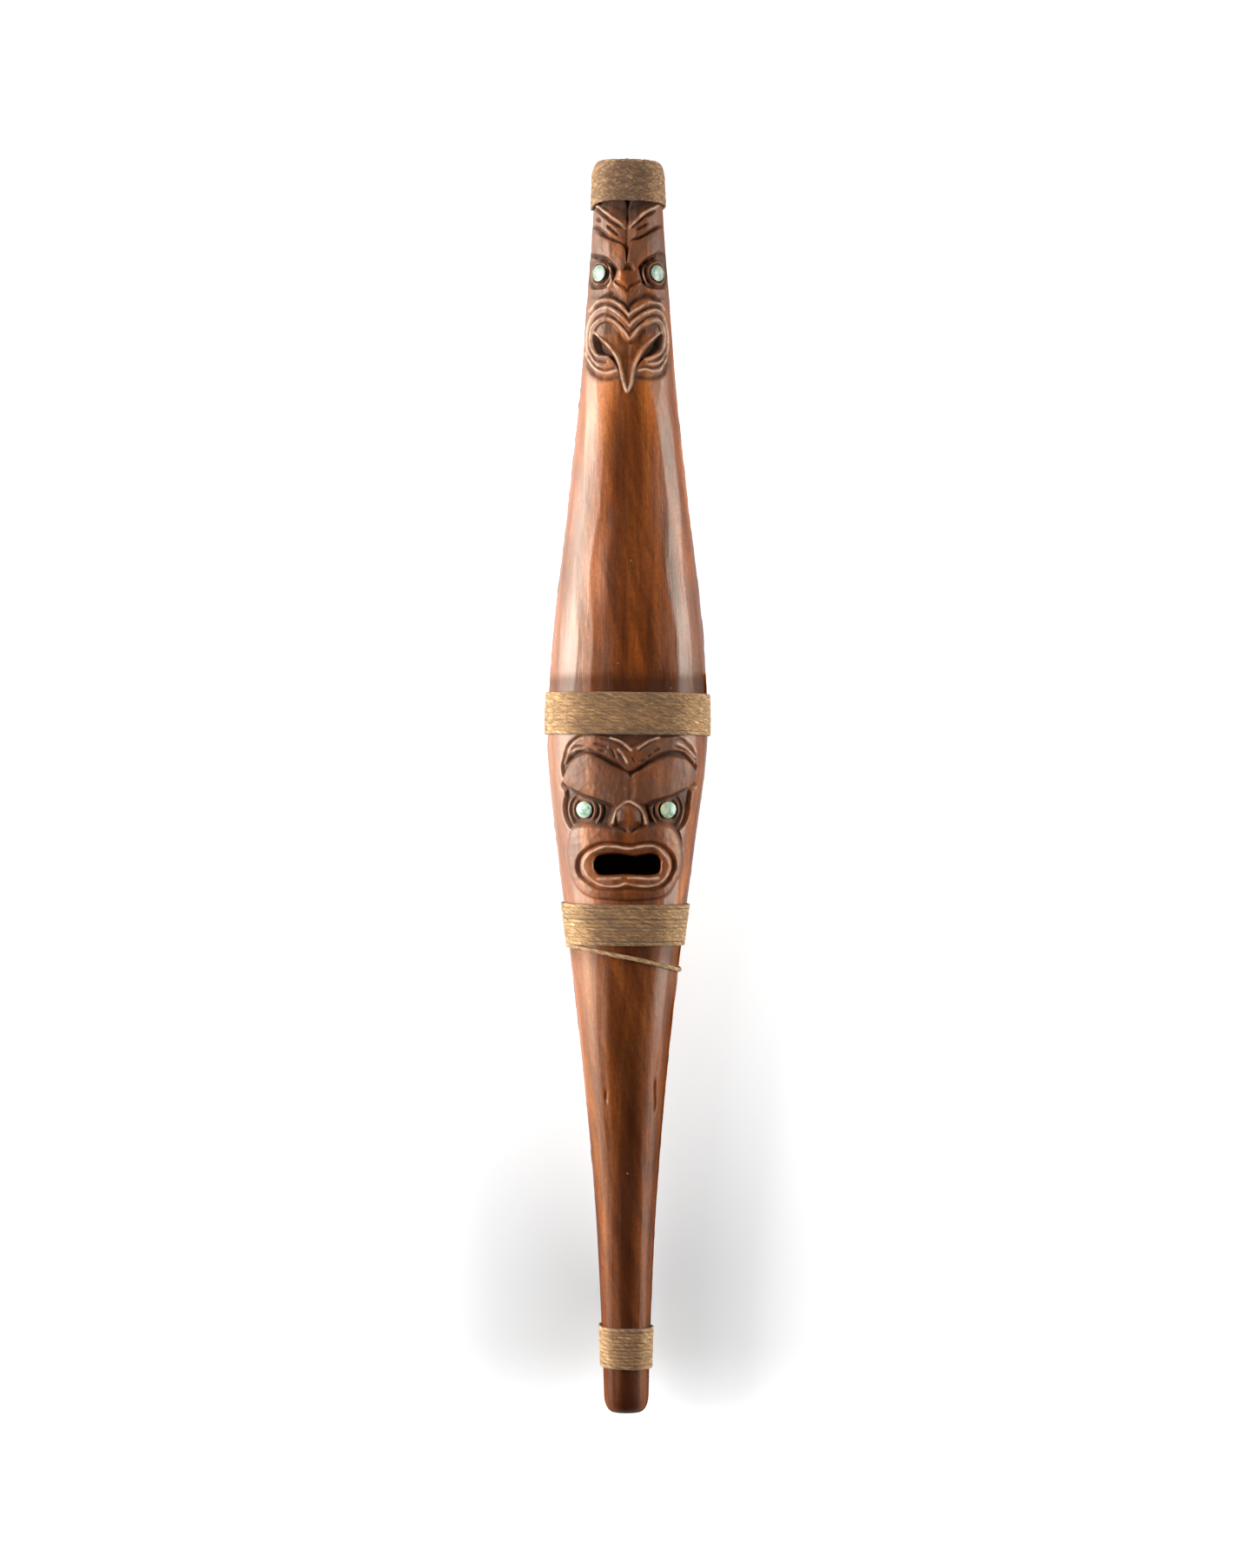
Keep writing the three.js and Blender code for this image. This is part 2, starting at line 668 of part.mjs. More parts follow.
// The table is where the twine on the planed back ends, cut flat a tenth of its diameter
const restDepth = backFlatDepth + twineClearance + twineDiameter / 2 +
  (twineDiameter / 2) * Math.cos(Math.PI / twineSides) - twineDiameter / 10;
for (const [name, row] of Object.entries(whippings)) {
  const { points, normals } = whipping(row);
  const tube = solid(sweep(points, normals, () => roundSection(twineDiameter / 2, twineSides)));
  const below = new THREE.BoxGeometry(2 * bellyWidth, 2 * length, overrun)
    .translate(0, 0, -restDepth - overrun / 2);
  place(name, geometryOf(tube.subtract(solid(below))), "twine");
  console.log(`${name}: least gap between turns ${leastGap(points, row.steps).toFixed(2)} mm`);
}

const bounds = new THREE.Box3().setFromObject(putorino);
putorino.position.set(-(bounds.min.x + bounds.max.x) / 2, 0, restDepth);

export default putorino;
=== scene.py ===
"""The looks of a putorino, the Maori bugle flute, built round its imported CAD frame.

The wood's two halves are dense meshes that follow the CAD skin, with both carved faces raised and
cut in them. The shell eyes, the gum in the seams and the twine of the four whippings replace
their plain solids. Shapes are worked out in millimetres in the flute's own frame, whose z is 0 at
the parting plane of the two halves, and become metres in the row frame when a mesh is made.
"""
import math

import bmesh
import bpy
import numpy as np
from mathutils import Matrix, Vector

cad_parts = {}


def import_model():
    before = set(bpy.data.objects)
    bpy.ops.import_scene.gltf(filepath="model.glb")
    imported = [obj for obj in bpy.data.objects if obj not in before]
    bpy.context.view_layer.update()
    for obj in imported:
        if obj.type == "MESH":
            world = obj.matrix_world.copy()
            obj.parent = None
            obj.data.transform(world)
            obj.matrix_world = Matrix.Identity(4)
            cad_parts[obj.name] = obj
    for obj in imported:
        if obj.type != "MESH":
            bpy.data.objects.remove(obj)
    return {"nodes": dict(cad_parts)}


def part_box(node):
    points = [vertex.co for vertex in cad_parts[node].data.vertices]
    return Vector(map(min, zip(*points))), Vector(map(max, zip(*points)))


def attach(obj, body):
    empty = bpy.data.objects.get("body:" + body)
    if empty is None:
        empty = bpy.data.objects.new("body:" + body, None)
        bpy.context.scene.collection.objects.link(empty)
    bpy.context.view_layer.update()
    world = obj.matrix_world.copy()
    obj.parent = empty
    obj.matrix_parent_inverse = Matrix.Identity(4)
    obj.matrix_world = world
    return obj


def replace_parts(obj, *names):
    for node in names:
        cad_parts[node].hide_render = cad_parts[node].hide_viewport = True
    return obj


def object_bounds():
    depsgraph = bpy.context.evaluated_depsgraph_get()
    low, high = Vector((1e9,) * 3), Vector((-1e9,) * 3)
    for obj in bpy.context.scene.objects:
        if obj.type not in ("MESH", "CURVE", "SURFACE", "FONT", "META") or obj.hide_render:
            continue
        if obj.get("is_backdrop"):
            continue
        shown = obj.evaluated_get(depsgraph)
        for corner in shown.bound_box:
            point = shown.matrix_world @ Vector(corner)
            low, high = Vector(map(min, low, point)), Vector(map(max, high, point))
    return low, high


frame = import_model()
CAD_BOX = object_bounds()

MM = 0.001

# The wood, as in the CAD source but for a rounder lip that ends a little earlier
LENGTH = 460
BELLY_WIDTH = 58.6
FRONT_DEPTH = 19.4
BACK_DEPTH = 17.6
BACK_FLAT_DEPTH = 16.5
WALL = 4.6
FOOT_BORE = 6.4
CAVITY_TAPER = 150
LEAN = 1.1
LIP_ROUND = 6
LIP_END = LENGTH / 2 - 1.2
FOOT_ROUND = 5.5
GUM_THICKNESS = 0.5
SECTION_POWER = 2.2
FOOT_FACE_SHARE = 0.62
LIP_FACE_SHARE = 0.74
# Share of the length from the foot, then shares of half the belly width, of the front depth and
# of the back depth, and the share of the lean
SECTION_SHARES = np.array([
    [0, 0.273, 0.371, 0.398, 0.6],
    [0.065, 0.304, 0.407, 0.437, 0.7],
    [0.167, 0.386, 0.505, 0.545, 0.8],
    [0.267, 0.519, 0.649, 0.716, 1],
    [0.367, 0.693, 0.82, 0.943, 1],
    [0.45, 0.86, 0.948, 0.994, 0.85],
    [0.533, 1, 1, 1, 0.3],
    [0.617, 0.945, 0.943, 0.943, 0],
    [0.717, 0.768, 0.804, 0.818, 0],
    [0.817, 0.6, 0.67, 0.693, 0],
    [0.883, 0.522, 0.613, 0.636, 0],
    [0.95, 0.444, 0.546, 0.58, 0],
    [1, 0.413, 0.515, 0.545, 0],
])

# The photograph: its frame, and the flute's two ends in it
IMAGE_HEIGHT_PX = 1806
FLUTE_MIDDLE_PX = (722.5, 904.5)
FLUTE_LENGTH_PX = 1441
MM_PER_PX = LENGTH / FLUTE_LENGTH_PX
CAMERA_DISTANCE = 1100  # from the parting plane
SENSOR_WIDTH = 36


def node_box(name):
    """Lowest and highest corner of a CAD node, in millimetres of the row frame."""
    return [np.array(corner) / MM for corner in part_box(name)]


def mesh_points(piece):
    """The points of an object's mesh, in millimetres of the row frame."""
    return np.array([vertex.co for vertex in piece.data.vertices]) / MM


# Where the flute's own frame lies in the row frame
PARTING_HEIGHT = np.mean(node_box("seam_gum_left"), axis=0)[2]
MIDDLE_SHIFT = np.mean([node_box("eye_head_left"), node_box("eye_head_right")], axis=(0, 1))[0]
TO_ROW = np.array([MIDDLE_SHIFT, 0, PARTING_HEIGHT])


# Numbers

def powered(value, power):
    """A power of a number's size, with the number's sign."""
    return np.sign(value) * np.abs(value) ** power


def smoothstep(value, low, high):
    t = np.clip((value - low) / (high - low), 0, 1)
    return t * t * (3 - 2 * t)


def lattice_noise(u, v, seed):
    """Smooth noise from -1 to 1 whose cells are one unit wide."""
    size = 64
    table = np.random.default_rng(seed).uniform(-1, 1, (size, size))
    iu, iv = np.floor(u).astype(int), np.floor(v).astype(int)
    su, sv = smoothstep(u - iu, 0, 1), smoothstep(v - iv, 0, 1)
    corner = lambda du, dv: table[(iu + du) % size, (iv + dv) % size]
    low = corner(0, 0) * (1 - su) + corner(1, 0) * su
    high = corner(0, 1) * (1 - su) + corner(1, 1) * su
    return low * (1 - sv) + high * sv


def smooth_rows(rows, position):
    """Values of a smooth curve through rows of [position, value, value, ...]."""
    last = len(rows) - 1
    i = np.clip(np.searchsorted(rows[:, 0], position) - 1, 0, last - 1)
    start, end = rows[i], rows[i + 1]
    before, after = rows[np.maximum(i - 1, 0)], rows[np.minimum(i + 2, last)]
    span = end[..., :1] - start[..., :1]
    t = (position[..., None] - start[..., :1]) / span
    start_slope = (end - before) / (end[..., :1] - before[..., :1]) * span
    end_slope = (after - start) / (after[..., :1] - start[..., :1]) * span
    value = (
        start * (1 + 2 * t) * (1 - t) ** 2 + start_slope * t * (1 - t) ** 2
        + end * t * t * (3 - 2 * t) - end_slope * t * t * (1 - t)
    )
    return np.moveaxis(value[..., 1:], -1, 0)


# The skin and the cavity

def end_scale(y):
    """How much the rounding of the two ends leaves of the section at y."""
    def rounded(distance, radius, face_share):
        inset = np.clip(1 - distance / radius, 0, 1)
        return face_share + (1 - face_share) * np.sqrt(1 - inset ** 2)
    return (rounded(y + LENGTH / 2, FOOT_ROUND, FOOT_FACE_SHARE)
            * rounded(LIP_END - y, LIP_ROUND, LIP_FACE_SHARE))


def section(y):
    """Half width, front depth, back depth and the middle's place across, at y."""
    along = np.clip(y / LENGTH + 1 / 2, 0, 1)
    width_share, front_share, back_share, lean_share = smooth_rows(SECTION_SHARES, along)
    scale = end_scale(y)
    return (scale * width_share * BELLY_WIDTH / 2, scale * front_share * FRONT_DEPTH,
            scale * back_share * BACK_DEPTH, -lean_share * LEAN)


def skin(angle, y):
    """Points of the skin. The angle is 0 at the right edge and a quarter turn at the crown."""
    angle, y = np.broadcast_arrays(np.asarray(angle, float), np.asarray(y, float))
    half, front, back, middle = section(y)
    upward = powered(np.sin(angle), 2 / SECTION_POWER)
    outward = powered(np.cos(angle), 2 / SECTION_POWER)
    z = np.where(upward > 0, upward * front, np.maximum(upward * back, -BACK_FLAT_DEPTH))
    return np.stack([middle + outward * half, y, z], -1)


def unit(vectors):
    return vectors / np.maximum(np.linalg.norm(vectors, axis=-1, keepdims=True), 1e-12)


def skin_normal(angle, y, step=0.3):
    turn = math.pi / 360
    along = skin(angle, y + step) - skin(angle, y - step)
    around = skin(angle + turn, y) - skin(angle - turn, y)
    return unit(np.cross(along, around))


def cavity(angle, y):
    """Points of the cavity's wall, which closes to its bore at the foot."""
    half, front, back, middle = section(np.clip(y, -LENGTH / 2 + FOOT_ROUND, LENGTH / 2 - LIP_ROUND))
    opened = smoothstep(y, -LENGTH / 2, CAVITY_TAPER - LENGTH / 2)
    inside = lambda outer: FOOT_BORE / 2 + (outer - WALL - FOOT_BORE / 2) * opened
    depth = np.where(np.sin(angle) > 0, inside(front), inside(np.minimum(back, BACK_FLAT_DEPTH)))
    x = middle + inside(half) * np.cos(angle)
    return np.stack([x, y + 0 * x, depth * np.sin(angle)], -1)


def to_px(points):
    """The photograph's pixels that points of the flute's frame fall on."""
    nearer = CAMERA_DISTANCE / (CAMERA_DISTANCE - points[..., 2]) / MM_PER_PX
    x = FLUTE_MIDDLE_PX[0] + (points[..., 0] + MIDDLE_SHIFT) * nearer
    return np.stack([x, FLUTE_MIDDLE_PX[1] - points[..., 1] * nearer], -1)


# Carving: heights over the skin, from lines traced in the photograph's pixels

def smooth_line(line, closed=False, parts=4):
    """A smooth curve through points."""
    line = np.array(line, float)
    if closed:
        padded = np.vstack([line[-1:], line, line[:2]])
    else:
        padded = np.vstack([2 * line[:1] - line[1:2], line, 2 * line[-1:] - line[-2:-1]])
    a, b, c, d = padded[:-3], padded[1:-2], padded[2:-1], padded[3:]
    steps = [
        b + t / 2 * (c - a) + t * t / 2 * (2 * a - 5 * b + 4 * c - d)
        + t ** 3 / 2 * (3 * b - a - 3 * c + d)
        for t in np.arange(parts) / parts
    ]
    points = np.stack(steps, 1).reshape(-1, 2)
    return points if closed else np.vstack([points, line[-1:]])


def from_line(at, line, closed=False):
    """Distance from a line, and the share of its length at the nearest point."""
    ends = np.vstack([line, line[:1]]) if closed else line
    lengths = np.linalg.norm(np.diff(ends, axis=0), axis=1)
    starts = np.concatenate([[0], np.cumsum(lengths)])
    least, share = np.full(len(at), np.inf), np.zeros(len(at))
    for i, span in enumerate(np.maximum(lengths, 1e-9)):
        step = (ends[i + 1] - ends[i]) / span
        t = np.clip((at - ends[i]) @ step, 0, span)
        distance = np.linalg.norm(at - ends[i] - t[:, None] * step, axis=1)
        nearer = distance < least
        least[nearer] = distance[nearer]
        share[nearer] = (starts[i] + t[nearer]) / starts[-1]
    return least, share


def inside(at, outline):
    """Whether points lie inside an outline."""
    found = np.zeros(len(at), bool)
    x, y = at.T
    for (x0, y0), (x1, y1) in zip(outline, np.roll(outline, -1, axis=0)):
        if y0 == y1:
            continue
        crosses = (y0 > y) != (y1 > y)
        found ^= crosses & (x < x0 + (y - y0) * (x1 - x0) / (y1 - y0))
    return found


# How far a ridge's wear and painted highlight reach from its line
WORN_HIGHLIGHT_REACH = 0.42
CUT_REACH = 4  # how far a ridge or cut reaches from its line
# From which share of its half length a ridge falls away, and a groove grows shallow
CREST_END = 0.6
GROOVE_END = 0.7


def for_each_line(work):
    """Lets a method for one line take a list of lines too, or their name in self.lines."""
    def run(self, lines, *levels, **options):
        lines = self.lines[lines] if isinstance(lines, str) else lines
        for line in [lines] if isinstance(lines[0], tuple) else lines:
            work(self, line, *levels, **options)
    return run


class Relief:
    """Heights over the skin in millimetres, at points given by the pixels they fall on."""

    def __init__(self, at):
        self.at = at
        self.lines = {}
        self.height = np.zeros(len(at))
        self.worn_highlight = np.zeros(len(at))

    def near(self, line, reach):
        """The points in a box round a line."""
        margin = reach / MM_PER_PX
        low, high = line.min(0) - margin, line.max(0) + margin
        return np.flatnonzero(np.all((self.at > low) & (self.at < high), axis=1))

    def distances(self, line, reach, closed=False):
        near = self.near(line, reach)
        distance, share = from_line(self.at[near], line, closed)
        return near, distance * MM_PER_PX, share

    def depths(self, outline, reach):
        """How far inside an outline the points near it lie, negative outside."""
        near, distance, _ = self.distances(outline, reach, closed=True)
        return near, np.where(inside(self.at[near], outline), distance, -distance)

    @for_each_line
    def crest(self, line, top, slope=1.3, round_off=0.12, closed=False, taper=0.5):
        """A ridge with straight slopes. top may be the heights of its two ends."""
        line = smooth_line(line, closed)
        near, distance, share = self.distances(line, CUT_REACH, closed)
        if not closed:
            slope = slope * (1 + taper * smoothstep(np.abs(2 * share - 1), CREST_END, 1))
        start, end = np.broadcast_to(top, 2)
        fall = slope * (np.hypot(distance, round_off) - round_off)
        self.height[near] = np.maximum(self.height[near], start + (end - start) * share - fall)
        # Wear and a painted highlight along the ridge
        self.worn_highlight[near] = np.maximum(self.worn_highlight[near], np.exp(-(distance / WORN_HIGHLIGHT_REACH) ** 2))

    @for_each_line
    def groove(self, line, floor, slope=1.4, round_off=0.08, closed=False, fade=0.35):
        """A cut with straight slopes, shallower towards its ends by the share fade."""
        line = smooth_line(line, closed)
        near, distance, share = self.distances(line, CUT_REACH, closed)
        rise = slope * (np.hypot(distance, round_off) - round_off)
        start, end = np.broadcast_to(floor, 2)
        level = start + (end - start) * share
        if not closed:
            from_middle = np.abs(2 * share - 1)
            level = level + fade * np.abs(level) * smoothstep(from_middle, GROOVE_END, 1)
        self.height[near] = np.minimum(self.height[near], level + rise)

    @for_each_line
    def pad(self, outline, top, dome=0.3, reach=3.0, slope=2.0):
        """A raised form with a domed top and steep sides."""
        near, depth = self.depths(smooth_line(outline, closed=True), CUT_REACH)
        rounded = dome * (1 - (1 - np.clip(depth / reach, 0, 1)) ** 2)
        height = top + np.where(depth < 0, slope * depth, rounded)
        self.height[near] = np.maximum(self.height[near], height)

    @for_each_line
    def ground(self, outline, level, feather=1.0, only_down=False):
        """A region brought to one level, or to a level for each point."""
        outline = smooth_line(outline, closed=True)
        near, depth = self.depths(outline, feather)
        share = smoothstep(depth, 0, feather)
        level = level(self.at[near]) if callable(level) else level
        lowered = self.height[near] * (1 - share) + level * share
        self.height[near] = np.minimum(self.height[near], lowered) if only_down else lowered


# Lines of the head, in pixels of the photograph
HEAD_PX = {
    "outline": [
        (668, 230), (700, 222), (745, 222), (776, 230), (776, 300), (779, 400), (768, 438),
        (736, 442), (723, 452), (708, 442), (680, 440), (664, 400), (668, 300),
    ],
    "forehead": [
        (677, 238), (679, 226), (700, 224), (722.5, 224), (745, 224), (764, 226), (758, 236),
        (743.4, 244.9), (734.3, 252.5), (725, 261), (721, 264), (719.7, 261.7), (712.8, 255.6),
        (700.6, 247.2), (688.4, 238.8), (682, 237),
    ],
    "forehead_crease": [(722.5, 222), (722.4, 240), (722, 256)],
    "valley": [(722.2, 254), (721.3, 264), (721.2, 280), (721.4, 296), (721.8, 306)],
    "valley_floor": [
        (717, 256), (721.5, 251), (727, 256), (726.5, 280), (724.5, 306), (719.5, 306), (717, 280),
    ],
    "lip_middle": [
        (717, 349), (724, 358), (732, 350), (730, 372), (725, 392), (719, 382), (716, 366),
    ],
    "first_ridges": [
        [(679.9, 238), (684.5, 236.5), (688.4, 238.8), (700.6, 247.2), (712.8, 255.6),
         (719.7, 261.7)],
        [(758, 236), (756.5, 237.2), (743.4, 244.9), (734.3, 252.5), (729.7, 257.1), (725, 261)],
    ],
    "second_grooves": [
        [(682.2, 241), (686, 240.5), (693, 245.7), (704.4, 254.8), (715.9, 261.7), (720, 264)],
        [(754, 242.5), (751, 244), (738.9, 251.8), (730.4, 259.4), (725, 263)],
    ],
    "leaf_notches": [
        [(699.5, 260.6), (706, 266), (712.8, 270.5)],
        [(745.4, 258.3), (739, 261), (732.7, 263.6)],
        [(686.5, 252), (688.5, 253.6), (690.5, 254.8)],
    ],
    "third_grooves": [
        [(679.6, 265.5), (684.5, 262.5), (689.9, 264.8), (696.8, 270.9), (706.7, 277),
         (719.7, 282.4)],
        [(762, 261), (756.5, 262.5), (746.5, 268.6), (736.6, 274), (728.1, 277), (724.5, 279)],
    ],
    "brows": [
        [(680, 269.4), (685.3, 267.8), (693, 272.4), (704.4, 278.6), (717.4, 284.7),
         (720.9, 308.4), (712.8, 309.2), (708.3, 303.8), (702.9, 297.7), (696.8, 294.6),
         (689.1, 293.1), (681.5, 290.8), (678.4, 285.4), (678.8, 277)],
        [(728.1, 277.8), (725, 286), (722.8, 305.3), (732.7, 306.9), (736.6, 302.3),
         (743.4, 296.2), (752.6, 292.3), (760.3, 287), (764.1, 282.4), (764, 272),
         (760.3, 263.3), (757, 264.5), (746.5, 270.5), (736.6, 276)],
    ],
    "under_brows": [
        [(678.4, 290.8), (683.8, 296.5)],
        [(687, 296), (693, 296), (699, 298.5), (705, 303.5), (708.3, 309.5), (707.5, 318)],
        [(757, 294.5), (748, 296.5), (741, 301), (735.5, 306.5), (733.8, 313), (735, 319)],
    ],
    "brow_pits": [
        [(695, 298.5), (703, 302), (708, 309), (708, 318), (704, 322), (703.5, 312), (700, 304)],
        [(750, 297), (741, 300), (735, 306), (733, 314), (735, 322), (739, 324), (740.5, 312),
         (744, 304)],
    ],
    "eye_grounds": [
        [(677, 294), (690, 295), (703, 301), (708, 312), (706, 324), (698, 332), (686, 334),
         (677, 330), (674, 312)],
        [(766, 290), (752, 294), (740, 301), (734.5, 311), (736, 322), (743, 330), (755, 333),
         (768, 328), (770, 308)],
    ],
    "inner_eye_ridges": [
        [(697, 300), (700.6, 306.1), (703.7, 315.3), (702.9, 323.7), (699, 329)],
        [(743, 303), (740.6, 310), (741.9, 317), (745, 324)],
    ],
    "inner_eye_grooves": [
        [(699.8, 307.6), (698.6, 316), (696.8, 319.9), (690.7, 325.2)],
        [(745.5, 305), (743.6, 312), (745.5, 320), (750, 326)],
    ],
    "nose": [
        (712.8, 309.2), (720, 311), (726, 311), (732.7, 306.9), (736, 316), (738, 326), (735, 331),
        (729, 339), (723.2, 346.2), (716.5, 339), (710, 333), (706, 327), (709, 318),
    ],
    "nose_top": [(718.8, 309.5), (722.5, 307), (727, 309.5)],
    "nostrils": [
        [(707, 322.5), (712, 325.5), (719, 330.5), (721.5, 334)],
        [(737, 322.5), (731, 326.5), (725.5, 330), (723.5, 334)],
    ],
    "cheeks": [
        [(682, 333), (700, 330), (708, 334), (716, 341), (722.8, 347), (723, 352), (714, 346),
         (705, 340), (699, 341), (690, 345), (684, 346), (679, 342)],
        [(763, 331), (750, 333), (738, 331), (730, 340), (723.6, 347), (723.6, 352), (731, 346),
         (739, 341), (749, 340.5), (757, 344), (765, 346), (768, 340)],
    ],
    "over_lips": [
        [(693, 343), (699, 341), (704.9, 339.8), (712.8, 345), (720.8, 352.5), (723.5, 356)],
        [(757, 345), (748.7, 340.5), (739.2, 341), (731, 346), (725.6, 351), (723.5, 356)],
    ],
    "outer_lips": [
        [(678.6, 358.9), (684.9, 350.2), (692.9, 345.4), (704.9, 346.2), (714.4, 351.7),
         (724, 362.9)],
        [(724, 362.9), (727.2, 360.5), (736.8, 354.1), (746.3, 347.8), (752.7, 348.2),
         (759.9, 350.2), (765, 357)],
    ],
    "outer_lip_grooves": [
        [(680, 362), (684.1, 355.5), (692.9, 350.9), (700.9, 350.4), (711.3, 354.5), (719, 362),
         (724.5, 369)],
        [(724.5, 369), (729, 365.5), (737.5, 358.8), (748, 353), (756, 352.8), (763, 357)],
    ],
    "middle_lips": [
        [(724.9, 375.7), (719.2, 369.3), (711.3, 361.3), (700.9, 354.8), (691.3, 355.7),
         (682.5, 362.1), (677, 373.3), (675.2, 386), (675, 398), (677.5, 410), (684.1, 418.7),
         (690, 421), (698.5, 421.9)],
        [(724.9, 375.7), (728.8, 370.9), (738.4, 363.7), (749.5, 358.1), (757.5, 357.3),
         (763.1, 362.9), (767, 374), (769.3, 388), (769, 402), (764.7, 413.1), (756.7, 418.7),
         (747.9, 418.7)],
    ],
    "middle_lip_grooves": [
        [(724.8, 384), (718.5, 377), (711, 369.5), (703, 363), (694, 362), (686, 367),
         (680.5, 377), (678, 388), (677.8, 399), (680.5, 408.5), (686, 414.5), (698, 417)],
        [(724.8, 384), (730, 379), (738, 370.5), (748.5, 364), (758, 363.6), (764, 370.5),
         (766.3, 383), (766.8, 398), (763, 408), (757, 414), (747, 416.5)],
    ],
    "inner_lips": [
        [(724.8, 390.8), (720.8, 384.4), (712.8, 376.5), (704.9, 368.5), (696.9, 366.9),
         (688.1, 369.3), (681.7, 377.3), (679.8, 386), (679.4, 395.6), (682.5, 405.2),
         (688.1, 410), (699.3, 411.6)],
        [(724.8, 390.8), (728, 387.6), (736.8, 376.5), (748.7, 370.1), (759.1, 369.7),
         (763.5, 376.5), (765.1, 386.8), (765.1, 398.8), (760.7, 406.8), (752.7, 411.6),
         (743.9, 413.9)],
    ],
    "curls": [
        [(673.8, 406.8), (679.4, 420), (688.9, 427), (698.5, 429.5), (709.7, 426.7)],
        [(768.5, 412), (762.3, 424.3), (752.7, 427.5), (744.7, 425.1), (736, 427)],
    ],
    "curl_grooves": [
        [(675.4, 405), (681.5, 417), (690, 424), (699, 425.7), (708, 424)],
        [(767.3, 408), (761.5, 418.7), (753.5, 423.2), (745.5, 422), (738, 423)],
    ],
    "chin_edge": [
        [(673.5, 414), (676, 420), (682, 429), (690, 434), (700, 435.8), (712.8, 434.5)],
        [(730, 434), (745, 435.5), (756, 433.5), (763, 430), (767.5, 421), (770, 413)],
    ],
    "mouth": [
        (724.8, 393), (712.8, 379.5), (704.5, 371.5), (696.9, 369.9), (689.5, 372.3), (684, 379),
        (682.3, 387), (682.3, 396), (685.5, 404.5), (690, 408.5), (699, 409.5), (706, 416),
        (712, 426), (716.5, 433), (720, 440), (728, 433), (733, 424), (738.5, 416), (744, 411.5),
        (752, 409), (758.5, 404.5), (762.5, 398), (762.6, 387), (761, 378), (757.5, 372.7),
        (748.7, 373.2), (737.8, 379.6),
    ],
    "pits": [
        [(682.5, 385), (689, 389.5), (696, 396), (702, 402.5), (706, 409), (709, 417), (704, 414),
         (699, 409.5), (690, 408.5), (685.5, 404.5), (682.3, 396)],
        [(762.3, 385), (755, 389.5), (747, 397), (741, 404), (736.5, 412), (733, 421),
         (738.5, 416), (744, 411.5), (752, 409), (758.5, 404.5), (762.5, 397)],
    ],
    "tongue_rims": [
        [(683.5, 383), (690, 388.5), (697, 395), (703, 401.5), (708.5, 409), (712.5, 418),
         (715, 427), (717, 437), (719, 445), (721.5, 451)],
        [(761.5, 382.5), (754, 388.5), (746, 396), (740, 403), (735, 411.5), (731.5, 420),
         (729.5, 429), (727.5, 438), (725.5, 445), (722.5, 451)],
    ],
}

